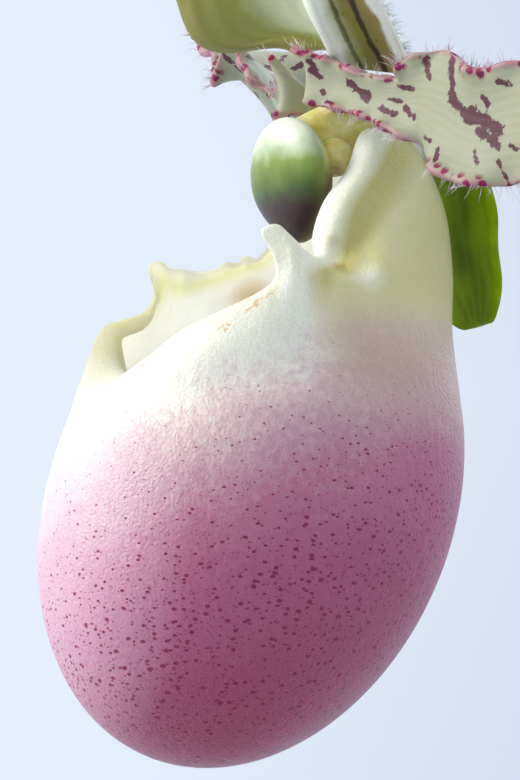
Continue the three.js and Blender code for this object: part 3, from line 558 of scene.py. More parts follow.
def hairs(roots):
    """Many tapered hairs as one mesh; each root is a point, a direction, a length and a radius in mm."""
    points = []
    faces = []
    for point, direction, length, radius in roots:
        aside = direction.cross(Vector((0.31, 0.52, 0.79))).normalized()
        above = direction.cross(aside)
        curl = (aside * draw.uniform(-0.3, 0.3) + above * draw.uniform(-0.3, 0.3)) * length
        first = len(points)
        for share in (-0.12, 0.45):
            centre = point + direction * length * share + curl * max(share, 0) ** 2
            for side in range(HAIR_SIDES):
                angle = math.tau * side / HAIR_SIDES
                spread = aside * math.cos(angle) + above * math.sin(angle)
                points.append((centre + spread * radius * (1 - 0.6 * max(share, 0))) * MM)
        points.append((point + direction * length + curl) * MM)
        for side in range(HAIR_SIDES):
            after = (side + 1) % HAIR_SIDES
            low, high = first + side, first + HAIR_SIDES + side
            faces.append((low, first + after, first + HAIR_SIDES + after, high))
            faces.append((high, first + HAIR_SIDES + after, first + 2 * HAIR_SIDES))
        faces.append(tuple(first + side for side in reversed(range(HAIR_SIDES))))
    mesh = bpy.data.meshes.new("hairs")
    mesh.from_pydata(points, [], faces)
    mesh.uv_layers.new(name="UVMap")
    piece = bpy.data.objects.new("hairs", mesh)
    bpy.context.collection.objects.link(piece)
    close_up(piece, 0.0001 * MM)
    return piece


def felt_roots(line, radius_at, count, length, thickness, low, high):
    """Hair roots scattered round a stalk between two shares of its length."""
    roots = []
    for _ in range(count):
        share = draw.uniform(low, high)
        ahead = (line(min(share + 0.01, 1)) - line(max(share - 0.01, 0))).normalized()
        aside = ahead.cross(Vector((0.9, 0.1, 0.42))).normalized()
        turn = draw.uniform(0, math.tau)
        out = aside * math.cos(turn) + ahead.cross(aside) * math.sin(turn)
        lean = (out + ahead * draw.uniform(-0.1, 0.5)).normalized()
        root = line(share) + out * radius_at(share, turn) * 0.97
        roots.append((root, lean, length * draw.uniform(0.5, 1.3), thickness))
    return roots


def hair_skin(name, colour_low, colour_high):
    """Plant hair: one row of clear cells, so it is a thin bright line against the light."""
    material, node = new_material(name, Roughness=0.5, Sheen_Weight=0.2)
    place = node("TexCoord", give="Object")
    mix = node("TexNoise", {"Vector": place, "Scale": 900, "Detail": 1})
    colour = node("ValToRGB", {"Fac": mix}, stops=[(0.4, colour_low), (0.6, colour_high)])
    return surfaced(material, colour)


def stem_skin():
    """A hairy flower stem: dark purple felt over green, dull, with darker specks at the hairs' feet."""
    material, node = new_material("hairy_stem_skin", Roughness=0.6, Sheen_Weight=0.5, Sheen_Roughness=0.4)
    place = node("TexCoord", give="Object")
    cloud = node("TexNoise", {"Vector": place, "Scale": 170, "Detail": 4})
    # Hairs stand about 0.4 mm apart, each on a dark speck
    feet = node("TexVoronoi", {"Vector": place, "Scale": 2500})
    colour = node("ValToRGB", {"Fac": cloud}, stops=[
        (0.3, "#2f1a26"), (0.55, "#4a2a34"), (0.75, "#5a4a3a"),
    ])
    dark = node("MapRange", {"Value": feet, 1: 0.3, 2: 0.12, 4: 0.7})
    specked = node("Mix", {0: dark, 6: colour, 7: "#1d0f18"}, **IN_COLOUR)
    pimple = node("Bump", {"Height": dark, "Strength": 0.5, "Distance": 0.0002})
    return surfaced(material, specked, pimple)


stem_felt = stem_skin()
dark_hair = hair_skin("dark_stem_hair", "#5a3446", "#a78d92")
pale_hair = hair_skin("pale_margin_hair", "#e9e2e0", "#f3efe6")
pink_hair = hair_skin("pink_petal_hair", "#cfa9b6", "#efe2e4")

stem_shares = (0, 0.15, 0.3, 0.5, 0.7, 0.85, 1)
stem_points = [stem_centre(STEM_FOOT + share * (STEM_NODE - STEM_FOOT)) for share in stem_shares]
stem_points.append(Vector((-0.6, GROWTH_A.y + 0.6, STEM_TOP)))
stem_line = smooth_line(stem_points)


def stem_radius(share, turn):
    """The stem thins upwards and is faintly ribbed."""
    return (STEM_RADIUS + (STEM_TOP_RADIUS - STEM_RADIUS) * share) * (1 + 0.02 * math.sin(6 * turn))


stem = with_material(tube(stem_points, stem_radius, along=160, around=24), stem_felt)
stem_roots = felt_roots(
    stem_line, stem_radius, STEM_HAIRS, length=0.8, thickness=0.035, low=0.02, high=0.99,
)
stem_hairs = with_material(hairs(stem_roots), dark_hair)
settle(joined(stem, stem_hairs), "hairy_flower_stem", "hairy_stem", "flower_stem")


def boat(foot, aim, up, length, reach, flare):
    """The sheet of a bract that clasps what it grows round, from its foot to its pointed tip."""
    ahead = aim.normalized()
    aside = ahead.cross(up).normalized()
    back = aside.cross(ahead).normalized()

    def place(s, across):
        taper = math.sqrt(max(1 - s ** 2.4, 0.004))
        angle = (2 * across - 1) * 2.0 * taper
        radius = reach + flare * s
        point = foot + ahead * length * s + aside * radius * math.sin(angle)
        return point - back * radius * math.cos(angle)

    return place


def margin_roots(place, count, length, thickness, lows=(0.05, 0.05)):
    """Hair roots along both margins of a sheet, from a low share of its length up, pointing outwards."""
    roots = []
    for low, edge, inner in ((lows[0], 0.0, 0.04), (lows[1], 1.0, 0.96)):
        for _ in range(count):
            s = draw.uniform(low, 0.97)
            point = place(s, edge)
            out = (point - place(s, inner)).normalized()
            ahead = (place(min(s + 0.01, 1), edge) - place(max(s - 0.01, 0), edge)).normalized()
            face = out.cross(ahead).normalized()
            lean = (out + ahead * draw.gauss(0, 0.35) + face * draw.gauss(0, 0.3)).normalized()
            roots.append((point, lean, length * draw.uniform(0.45, 1.25), thickness))
    return roots


def bract_skin():
    """A drying bract: green with brown nerves and a papery edge."""
    material, node = new_material(
        "papery_bract", Roughness=0.6, Subsurface_Weight=0.2, Subsurface_Scale=0.001,
    )
    strip = node("SeparateXYZ", {"Vector": node("UVMap")}, give=None)
    place = node("TexCoord", give="Object")
    # Nerves about 1 mm apart round the bract
    ridge = stripes(node, strip["Y"], 66)
    cloud = node("TexNoise", {"Vector": place, "Scale": 300, "Detail": 4})
    colour = node("ValToRGB", {"Fac": cloud}, stops=[
        (0.35, "#6f7d3e"), (0.55, "#8d9350"), (0.7, "#a08e5c"),
    ])
    nerved = tinted(node, colour, "#5c4630", ridge, 0.3, 1.0, 0.5)
    dried = tinted(node, nerved, "#8a6a44", strip["X"], 0.75, 1.0, 0.7)
    raised = node("Bump", {"Height": ridge, "Strength": 0.4, "Distance": 0.0002})
    return surfaced(material, dried, raised)


bract_material = bract_skin()


def make_bract(name, record_node, sheet):
    """One bract with hairs on its edges."""
    blade = shaped_grid(44, 30, sheet)
    thicken(blade, BRACT_THICKNESS)
    fringe = with_material(hairs(margin_roots(sheet, 90, length=0.8, thickness=0.03)), pale_hair)
    settle(joined(with_material(blade, bract_material), fringe), name, "bract", record_node)


sheath_foot = stem_centre(SHEATH_FOOT)
make_bract("clasping_sheath", "stem_sheath", boat(
    foot=sheath_foot, aim=stem_centre(SHEATH_FOOT + 20) - sheath_foot, up=Vector((0, 1, 0)),
    length=26, reach=2.9, flare=0.9,
))
make_bract("flower_sheath", "flower_bract", boat(
    foot=Vector((0, 11.1, 311.3)), aim=Vector((0, -0.73, 0.68)), up=Vector((0, 0.68, 0.73)),
    length=17, reach=2.6, flare=0.6,
))


# Ovary
# The seed vessel, which is also the flower's stalk: a ribbed rod with dark stiff hairs all round,
# bent down from the back of the flower to the stem.
FLOWER = Vector((0, -26, 330))
OVARY = [
    (0, 0.75, 1.1), (0, 6, 0.6), (0, 13, -1.2), (0, 21, -5), (0, 29, -11), (0, 33.1, -15.2),
    (0, 35.5, -16.8),
]
OVARY_HAIRS = 2600


def ovary_radius(share, turn):
    """Six low ribs run along the rod."""
    return (1.9 - 0.35 * share) * (1 + 0.05 * math.cos(6 * turn)) * min(1, (share + 0.02) * 25) ** 0.5


ovary_points = [FLOWER + Vector(point) for point in OVARY]
ovary = with_material(tube(ovary_points, ovary_radius, along=70, around=36), stem_felt)
ovary_roots = felt_roots(
    smooth_line(ovary_points), ovary_radius, OVARY_HAIRS, length=1.0, thickness=0.03, low=0.02, high=0.98,
)
ovary_hairs = with_material(hairs(ovary_roots), dark_hair)
settle(joined(ovary, ovary_hairs), "hairy_ovary", "hairy_stem", "ovary")


# Bud
# The next flower, still shut at the tip of the stem: green overlapping sepals, downy and finely veined.
BUD_STALK = [(-0.6, 12.4, 322.9), (-0.6, 10.8, 327), (-0.6, 7.4, 332)]
BUD_CENTRE = Vector((-0.6, 2.4, 335.6))
BUD_HALF = (3.6, 7.2, 3.9)
BUD_TILT = -0.65
BUD_HAIRS = 900


def bud_point(s, t):
    """An egg with a pointed tip and a seam where the sepals meet."""
    angle = math.pi * min(max(s, 0), 1)
    turn = math.tau * t
    seam = 1 - 0.05 * max(0, math.cos(3 * turn)) ** 10
    ring = math.sin(angle) * seam
    wide, long, deep = BUD_HALF
    point = Vector((wide * ring * math.cos(turn), -long * math.cos(angle), deep * ring * math.sin(turn)))
    return BUD_CENTRE + Matrix.Rotation(BUD_TILT, 3, "X") @ point


bud_form = shaped_grid(48, 36, bud_point)
close_up(bud_form, 0.005 * MM)
bud_stalk = tube(BUD_STALK, lambda share, turn: 1.3, along=20, around=18)


def bud_skin():
    """A shut bud: downy yellow-green sepals with fine darker veins along them."""
    material, node = new_material(
        "downy_bud", Roughness=0.55, Sheen_Weight=0.4, Subsurface_Weight=0.25, Subsurface_Scale=0.001,
    )
    place = node("TexCoord", give="Object")
    strip = node("SeparateXYZ", {"Vector": node("UVMap")}, give=None)
    vein = stripes(node, strip["Y"], 150)
    cloud = node("TexNoise", {"Vector": place, "Scale": 250, "Detail": 3})
    colour = node("ValToRGB", {"Fac": cloud}, stops=[
        (0.35, "#7b8a3c"), (0.6, "#a3aa5c"), (0.75, "#b9b97a"),
    ])
    return surfaced(material, tinted(node, colour, "#5d5a30", vein, 0.4, 1.0, 0.45))


bud_roots = []
for _ in range(BUD_HAIRS):
    s, t = draw.uniform(0.05, 0.95), draw.random()
    point = bud_point(s, t)
    out = (point - BUD_CENTRE).normalized()
    bud_roots.append((point, (out + Vector((0, -0.5, 0.3))).normalized(), draw.uniform(0.3, 0.7), 0.025))
with_material(bud_form, bud_skin())
with_material(bud_stalk, stem_felt)
bud_hairs = with_material(hairs(bud_roots), pale_hair)
settle(joined(bud_form, bud_stalk, bud_hairs), "shut_bud", "bud", "bud")


# Synsepal
# The two lower sepals, grown together: a plain green blade that hangs behind the pouch.
SYNSEPAL_HALF_WIDTH = 5.5
SYNSEPAL_LENGTH = 11.6
SEPAL_THICKNESS = 0.6


def synsepal_place(s, across):
    """The blade curves back a little towards its tip and at its edges."""
    t = 2 * across - 1
    body = math.sqrt(max(1 - ((s - 0.46) / 0.57) ** 2, 0.004))
    wave = 0.12 * math.sin(s * 17) * abs(t) ** 3
    behind = 3.1 + 1.8 * s * s - 0.35 * t * t * body + wave
    return FLOWER + Vector((SYNSEPAL_HALF_WIDTH * body * t, behind, -1.5 - SYNSEPAL_LENGTH * s))


def sepal_veins(node, count, wobble):
    """The lengthwise veins of a sepal, a little wavy: 1 on a vein and -1 between two."""
    strip = node("UVMap")
    ripple = node("TexNoise", {"Vector": strip, "Scale": 6, "Detail": 2})
    across = node("SeparateXYZ", {"Vector": strip}, give="Y")
    bent = node("Math", {0: ripple, 1: wobble, 2: across}, operation="MULTIPLY_ADD")
    return stripes(node, bent, math.tau * count)


def synsepal_skin():
    """Thin green sepal tissue: satin, with paler lengthwise veins, lit through from behind."""
    material, node = new_material(
        "green_sepal", Roughness=0.6, Specular_IOR_Level=0.04,
        Subsurface_Weight=0.2, Subsurface_Scale=0.001,
    )
    vein = sepal_veins(node, 7, 0.02)
    place = node("TexCoord", give="Object")
    cloud = node("TexNoise", {"Vector": place, "Scale": 330, "Detail": 3})
    colour = node("ValToRGB", {"Fac": cloud}, stops=[(0.35, "#708a08"), (0.65, "#92b00c")])
    veined = tinted(node, colour, "#8fae26", vein, 0.3, 1.0, 0.3)
    raised = node("Bump", {"Height": vein, "Strength": 0.12, "Distance": 0.0001})
    return surfaced(material, veined, raised)


def petal_blade(place, along, across, thickness, marks=()):
    """A thickened sheet that carries, for each of its points, how near it is to a mark."""
    blade = shaped_grid(along, across, place)
    lines = [(place(s1, t1), place(s2, t2), reach) for s1, t1, s2, t2, reach in marks]
    nearness = [-1.0] * len(blade.data.vertices)
    for index, vertex in enumerate(blade.data.vertices):
        point = vertex.co / MM
        for start, end, reach in lines:
            if (point - start).length > (end - start).length + 3 * reach:
                continue
            closest, _ = geometry.intersect_point_line(point, start, end)
            share = min(max((closest - start).dot(end - start) / (end - start).length_squared, 0), 1)
            nearness[index] = max(nearness[index], 1 - (point - start.lerp(end, share)).length / reach)
    blade.data.attributes.new("nearness", "FLOAT", "POINT").data.foreach_set("value", nearness)
    thicken(blade, thickness)
    return blade


lower_sepal = with_material(petal_blade(synsepal_place, 40, 24, SEPAL_THICKNESS), synsepal_skin())
settle(lower_sepal, "lower_sepals", "synsepal", "synsepal")


# Dorsal sepal
# The upper sepal leans forward over the pouch like a hood, its sides brought forward and its edge
# rolled back: olive brown with dark lengthwise veins, and a cream edge with fine hairs.
DORSAL_SPINE = [
    (0, 0.6, 4.0), (0, -1.4, 6.7), (0, -3.7, 10.5), (0, -7.2, 16.5), (0, -12.5, 22), (0, -18.5, 26),
]
SEPAL_HALF_WIDTH = 11.2
SEPAL_RIDGE = 0.66
CORNER_DROP = 1.3
RIGHT_RAISE = 2
RIGHT_REACH = 1.3
dorsal_line = smooth_line(DORSAL_SPINE)


def dorsal_place(s, across):
    """The hood at a share of its length, from its left edge to its right."""
    t = 2 * across - 1
    side = abs(t)
    ahead = (dorsal_line(min(s + 0.005, 1)) - dorsal_line(max(s - 0.005, 0))).normalized()
    lift = 0.3 + 0.7 * smoothstep(s, 0, 0.35)
    forward = Vector((0, -ahead.z, ahead.y * lift)).normalized()
    body = math.sqrt(max(1 - ((s - 0.42) / 0.6) ** 2, 0.012))
    wide = SEPAL_HALF_WIDTH * body * (0.62 + 0.38 * smoothstep(s, 0, 0.3))
    opening = smoothstep(s, 0.3, 0.95)
    hood = (6.7 + 1.5 * smoothstep(s, 0, 0.3)) * (1 - 0.72 * opening)
    ridge = SEPAL_RIDGE + (1 - SEPAL_RIDGE) * opening
    profile = math.sin(min(side / ridge, 1) * math.pi / 2) ** 2
    roll_back = (0.7 - 0.28 * smoothstep(s, 0, 0.25)) * smoothstep(side, 0.6, 1) * (1 - opening)
    drop = 0.9 * profile * (1 - smoothstep(s, 0, 0.2))
    tuck = 0.5 * max(side - SEPAL_RIDGE, 0) * (1 - opening)
    point = dorsal_line(s) + forward * hood * (profile - roll_back)
    point.x = math.copysign(wide * (side - tuck), t)
    point.z -= drop
    # The foot is flat behind, where it sits on the ovary
    flat = (1 - smoothstep(side, 0.1, 0.5)) * (1 - smoothstep(s, 0.1, 0.4))
    point += Vector((0, -1.1, -0.5)) * flat
    if t < 0:
        point.y -= RIGHT_REACH * profile * smoothstep(s, 0.1, 0.4)
        point.z += RIGHT_RAISE * profile * (1 - smoothstep(s, 0, 0.35))
    else:
        point.z -= CORNER_DROP * smoothstep(side, 0.6, 1) * (1 - smoothstep(s, 0, 0.25))
    return FLOWER + point


def dorsal_skin():
    """Sepal tissue: whitish green, olive brown at the sides with near-black veins, and a cream edge."""
    material, node = new_material(
        "veined_sepal", Roughness=0.48, Specular_IOR_Level=0.35,
        Subsurface_Weight=0.3, Subsurface_Scale=0.001,
    )
    vein = sepal_veins(node, 23, 0.02)
    strip = node("SeparateXYZ", {"Vector": node("UVMap")}, give=None)
    place = node("TexCoord", give="Object")
    cloud = node("TexNoise", {"Vector": place, "Scale": 350, "Detail": 4})
    fine = node("TexNoise", {"Vector": place, "Scale": 1500, "Detail": 3})
    side = from_middle(node, strip["Y"])
    wavy = node("Math", {0: cloud, 1: 0.04, 2: strip["Y"]}, operation="MULTIPLY_ADD")
    colour = node("ValToRGB", {"Fac": wavy}, stops=[
        (0.03, "#efeeda"), (0.06, "#a08c4e"), (0.14, "#827838"), (0.31, "#83863c"),
        (0.38, "#d3d9bf"), (0.86, "#dde1cf"), (0.89, "#a3a262"), (0.91, "#827a36"),
        (0.94, "#8a7838"), (0.965, "#a08c4e"), (0.975, "#f3f2e2"),
    ])
    # The veins are darkest along the side of the hood, where specks of 0.1 to 0.2 mm follow them
    broken = node("Math", {0: vein, 1: fine}, operation="ADD")
    dark = node("MapRange", {"Value": broken, 1: 0.9, 2: 1.4, 4: 0.9})
    outer = node("MapRange", {"Value": side, 1: 0.33, 2: 0.38, 3: 0.1, 4: 1.0})
    ending = node("MapRange", {"Value": side, 1: 0.455, 2: 0.43})
    along_side = node("Math", {0: outer, 1: ending}, operation="MULTIPLY")
    darkness = node("Math", {0: dark, 1: along_side}, operation="MULTIPLY")
    veined = node("Mix", {0: darkness, 6: colour, 7: "#2b1a0c"}, **IN_COLOUR)
    speck = node("TexVoronoi", {"Vector": place, "Scale": 1900})
    dotted = node("MapRange", {"Value": speck, 1: 0.2, 2: 0.08, 4: 0.6})
    near_vein = node("Math", {0: dotted, 1: along_side}, operation="MULTIPLY")
    specked = node("Mix", {0: near_vein, 6: veined, 7: "#2a160c"}, **IN_COLOUR)
    # The upper end of the sepal is paler and greener than its foot
    ended = tinted(node, specked, "#a9b777", strip["X"], 0.45, 0.95, 0.6)
    raised = node("Bump", {"Height": vein, "Strength": 0.4, "Distance": 0.0001})
    cells = node("Bump", {"Height": fine, "Normal": raised, "Strength": 0.3, "Distance": 0.00005})
    return surfaced(material, ended, cells)


upper_sepal = with_material(petal_blade(dorsal_place, 72, 60, SEPAL_THICKNESS), dorsal_skin())
upper_fringe = with_material(hairs(margin_roots(dorsal_place, 420, length=0.7, thickness=0.02)), pale_hair)
settle(joined(upper_sepal, upper_fringe), "hooded_dorsal_sepal", "dorsal_sepal", "dorsal_sepal")


# Petals
# Two ribbon petals, cream with maroon blotches in rows along their veins; the margins are crimped,
# flushed magenta and set with stiff hairs about 1 mm long.
PETAL_UPPER = [
    (1.6, -8.4, 2.9), (2.5, -7.6, 2.5), (4, -6.9, 1.9), (7, -6.0, 0.6), (10, -5.1, 0),
    (12, -5.1, 0.8), (14.5, -4.7, 0.8), (18, -3.9, -1.0), (22, -3.2, -1.0), (27, -1.2, -2.0),
    (32, 1.0, -4.2), (37, 2.2, -7.6), (41, 2.0, -10.2), (44, 0.6, -12.2),
]
PETAL_LOWER = [
    (2.0, -2.5, -1.0), (1.9, -7.5, -0.6), (4.2, -6.8, -1.2), (7, -6.0, -2.2), (9.5, -5.6, -3.3),
    (12, -5.2, -4.5), (14, -5.2, -6.0), (18, -4.6, -7.8), (22, -3.6, -8.0), (26.5, -3.0, -9.0),
    (31, -4.6, -10.6), (36, -5.0, -12.4), (40, -3.4, -13.6), (44, -0.6, -13.2),
]
PETAL_THICKNESS = 0.55
PETAL_WAVE = 0.9
PETAL_WAVES = 5
RIGHT_PETAL_RISE = 30
RISE_START = 0.15
RIGHT_PETAL_SWEEP = 9
RIGHT_PETAL_TWIST = 105
# Blotches on the broad middle of a petal: where each starts and ends, as shares along and across, and
# its half-width in mm
BLOTCHES = [
    (0.19, 0.33, 0.23, 0.53, 0.42), (0.31, 0.17, 0.37, 0.35, 0.24), (0.28, 0.42, 0.32, 0.47, 0.18),
    (0.33, 0.57, 0.37, 0.7, 0.3), (0.26, 0.68, 0.31, 0.72, 0.3), (0.42, 0.82, 0.46, 0.8, 0.2),
    (0.48, 0.82, 0.49, 0.93, 0.24), (0.49, 0.33, 0.53, 0.45, 0.48), (0.53, 0.38, 0.58, 0.55, 0.55),
    (0.54, 0.5, 0.58, 0.68, 0.36), (0.55, 0.22, 0.56, 0.3, 0.26), (0.41, 0.1, 0.43, 0.25, 0.32),
    (0.48, 0, 0.49, 0.23, 0.38), (0.58, 0.12, 0.6, 0.2, 0.26), (0.54, 0.7, 0.55, 0.82, 0.26),
    (0.58, 0.8, 0.59, 0.95, 0.26), (0.6, 0.7, 0.62, 0.75, 0.2), (0.51, 0, 0.56, 0.05, 0.26),
]
upper_line = smooth_line(PETAL_UPPER)
lower_line = smooth_line(PETAL_LOWER)


def ribbon(hand, rise, sweep, twist):
    """The sheet of one petal, left (1) or right (-1), raised, swept back and twisted by so much."""
    def place(s, across):
        t = 2 * across - 1
        top = upper_line(s)
        width = lower_line(s) - top
        middle = top + width / 2
        ahead = upper_line(min(s + 0.02, 1)) - upper_line(max(s - 0.02, 0))
        turn = Matrix.Rotation(math.radians(twist) * smoothstep(s, 0.14, 0.7), 3, "X")
        width = turn @ width
        face = (turn @ ahead).cross(width).normalized()
        wave = PETAL_WAVE * math.sin(s * PETAL_WAVES * math.tau + (1.3 if t > 0 else 0))
        frill = wave * abs(t) ** 3 * smoothstep(s, 0.2, 0.4) * (1 - s ** 4)
        crimp = 0.28 * math.sin(s * 96 + 2.2 * t) * abs(t) ** 6 * smoothstep(s, 0.02, 0.12)
        cup = 0.7 * (1 - t * t) * (1 - s) * smoothstep(s, 0, 0.15)
        point = middle + width * t / 2 + face * (frill + crimp + cup)
        behind = point.y + sweep * s ** 1.9
        height = point.z + rise * max(s - RISE_START, 0) ** 1.3
        return FLOWER + Vector((hand * point.x, behind, height))

    return place


def blotch_marks():
    """The listed blotches, and more in slanting rows on the foot and on the outer half of the petal."""
    marks = list(BLOTCHES)
    for row in range(11):
        start = 0.64 + 0.034 * row if row else 0.08
        for step in range(5):
            if draw.random() < 0.3:
                continue
            s = start + 0.014 * step + draw.gauss(0, 0.004)
            t = 0.12 + 0.19 * step + draw.gauss(0, 0.03)
            end = (s + draw.uniform(0.005, 0.03), t + draw.uniform(0.04, 0.14))
            marks.append((s, t, *end, draw.uniform(0.14, 0.36)))
    return marks


def petal_skin():
    """Soft petal tissue: cream with green veins and torn maroon blotches, its edge magenta and spotted; the
    cream is painted darker all over as shade.
    """
    material, node = new_material(
        "blotched_petal", Roughness=0.5, Specular_IOR_Level=0.2,
        Subsurface_Weight=0.35, Subsurface_Scale=0.001,
    )
    strip = node("SeparateXYZ", {"Vector": node("UVMap")}, give=None)
    place = node("TexCoord", give="Object")
    # Each blotch is torn at its edge by noise of about half a millimetre
    nearness = node("Attribute", attribute_name="nearness", give="Fac")
    torn = node("TexNoise", {"Vector": place, "Scale": 1500, "Detail": 5, "Roughness": 0.65})
    ragged = node("Math", {0: torn, 1: 3.2, 2: nearness}, operation="MULTIPLY_ADD")
    blotch = node("MapRange", {"Value": ragged, 1: 1.75, 2: 1.95, 4: 0.95})
    vein = stripes(node, strip["Y"], 75)
    # Painted shade: the cream ground is darkened to grey olive, as the petal faces away from the light
    shaded_ground = tinted(node, "#98997f", "#848c62", vein, 0.3, 1.0, 0.16)
    side = from_middle(node, strip["Y"])
    edge = node("MapRange", {"Value": side, 1: 0.4, 2: 0.5})
    mottle = node("TexNoise", {"Vector": place, "Scale": 900, "Detail": 3})
    flush = node("Math", {0: edge, 1: mottle}, operation="MULTIPLY")
    flushed = tinted(node, shaded_ground, "#a8567c", flush, 0.2, 0.6, 0.7)
    # Magenta spots of 0.3 to 0.6 mm crowd the crimped edge
    spot = node("TexVoronoi", {"Vector": place, "Scale": 1300})
    drop = node("MapRange", {"Value": spot, 1: 0.42, 2: 0.3})
    rim = node("MapRange", {"Value": side, 1: 0.4, 2: 0.45})
    crowd = node("Math", {0: drop, 1: rim}, operation="MULTIPLY")
    spotted = node("Mix", {0: crowd, 6: flushed, 7: "#7d1844"}, **IN_COLOUR)
    maroon = node("Mix", {0: edge, 6: "#4a1228", 7: "#6c1040"}, **IN_COLOUR)
    blotched = node("Mix", {0: blotch, 6: spotted, 7: maroon}, **IN_COLOUR)
    raised = node("Bump", {"Height": vein, "Strength": 0.06, "Distance": 0.0001})
    cells = node("TexNoise", {"Vector": place, "Scale": 6000, "Detail": 1})
    grained = node("Bump", {"Height": cells, "Normal": raised, "Strength": 0.3, "Distance": 0.00004})
    return surfaced(material, blotched, grained)


petal_material = petal_skin()
for side, sheet in (
    ("left", ribbon(1, 0, 0, 0)),
    ("right", ribbon(-1, RIGHT_PETAL_RISE, RIGHT_PETAL_SWEEP, RIGHT_PETAL_TWIST)),
):
    petal = with_material(petal_blade(sheet, 170, 30, PETAL_THICKNESS, blotch_marks()), petal_material)
    roots = margin_roots(sheet, 170, length=1.0, thickness=0.018, lows=(0.0, 0.1))
    fringe = with_material(hairs(roots), pink_hair)
    settle(joined(petal, fringe), f"ribbon_petal_{side}", "petal", f"petal_{side}")


# Column
# Stamens and style grown into one short post. In front it carries the staminode, a domed shield that
# is white green above and dark maroon below, with a sticky pollen mass at each side.
COLUMN_LINE = [(0, -0.5, 0.2), (0, -2.5, -0.9), (0, -4.6, -2.0), (0, -7.6, -3.6)]
COLUMN_RADIUS = 2.1
SHIELD_HALF = (4.5, 1.7, 3.8)
SHIELD_CENTRE = Vector((0, -7.6, -4.9))
SHIELD_TILT = 0.2
SHIELD_TAPER = 0.35
POLLEN_HALF = (1.2, 1.3, 1.2)
POLLEN_CENTRES = ((-1.7, -5.6, -3.6), (1.7, -5.6, -3.6))


def egg(half, centre, tilt, taper, along, around):
    """A ball with three half-sizes, narrowed downwards, tilted and moved to its place in the flower."""
    def place(s, t):
        angle = math.pi * s
        turn = math.tau * t
        ring = math.sin(angle)
        narrow = 1 - taper * max(math.cos(angle), 0) ** 1.5
        point = Vector((ring * math.cos(turn) * narrow, ring * math.sin(turn), -math.cos(angle)))
        return FLOWER + Vector(centre) + Matrix.Rotation(tilt, 3, "X") @ (point * Vector(half))

    made = shaped_grid(along, around, place)
    close_up(made, 0.005 * MM)
    return made


def column_skin():
    """Waxy column tissue: olive yellow, the shield white green on top, green, then maroon at its foot."""
    material, node = new_material(
        "waxy_column", Roughness=0.38, Specular_IOR_Level=0.35,
        Subsurface_Weight=0.3, Subsurface_Scale=0.001,
    )
    place = node("TexCoord", give="Object")
    local = node("Mapping", {"Vector": place, "Location": -FLOWER, "Scale": (1000, 1000, 1000)})
    axes = node("SeparateXYZ", {"Vector": local}, give=None)
    patchy = node("TexNoise", {"Vector": local, "Scale": 0.7, "Detail": 3})
    height = node("Math", {0: patchy, 1: 1.8, 2: axes["Z"]}, operation="MULTIPLY_ADD")
    shield = node("ValToRGB", {"Fac": node("MapRange", {"Value": height, 1: -8.2, 2: -0.2})}, stops=[
        (0.0, "#2a191b"), (0.3, "#36211f"), (0.42, "#465a20"),
        (0.62, "#76903c"), (0.8, "#c6cfb4"), (1.0, "#dfe2d2"),
    ])
    post = node("ValToRGB", {"Fac": patchy}, stops=[(0.3, "#c2b452"), (0.5, "#dace78"), (0.7, "#eee6ac")])
    # The pollen masses are whitish above and dark brown below
    post = tinted(node, post, "#3f2f10", height, -3.0, -4.2, 0.9)
    back = node("MapRange", {"Value": axes["Y"], 1: -7.6, 2: -6.9})
    # The back of the shield turns olive where it joins the post
    olive_back = node("MapRange", {"Value": axes["Y"], 1: -8.2, 2: -7.0, 4: 0.75})
    olive_top = node("MapRange", {"Value": axes["Z"], 1: -7.0, 2: -5.0})
    olive = node("Math", {0: olive_back, 1: olive_top}, operation="MULTIPLY")
    shield = node("Mix", {0: olive, 6: shield, 7: "#8f8c38"}, **IN_COLOUR)
    colour = node("Mix", {0: back, 6: shield, 7: post}, **IN_COLOUR)
    waxy = node("Bump", {"Height": patchy, "Strength": 0.4, "Distance": 0.0002})
    return surfaced(material, colour, waxy)


column_points = [FLOWER + Vector(point) for point in COLUMN_LINE]
post = tube(column_points, lambda share, turn: COLUMN_RADIUS, along=24, around=24)
shield = egg(SHIELD_HALF, SHIELD_CENTRE, SHIELD_TILT, SHIELD_TAPER, along=40, around=48)
pollen = [egg(POLLEN_HALF, centre, tilt=0, taper=0, along=20, around=24) for centre in POLLEN_CENTRES]
column = with_material(joined(post, shield, *pollen), column_skin())
settle(column, "column_and_staminode", "column", "column")


# Lip
# One petal grown into a pouch: a waxy egg with a rolled rim, a horn each side and a claw behind that
# joins it to the flower. Cream at the rim, rose below, with fine magenta dots in loose rows.
POUCH_EQUATOR = -24.5
POUCH_DEPTH_BELOW = 15.7
POUCH_DEPTH_ABOVE = 16
POUCH_HALF_LENGTH = 12.5
POUCH_HALF_WIDTH = 11.6
POUCH_CENTRE = -10.2
POUCH_LEAN = 0.188
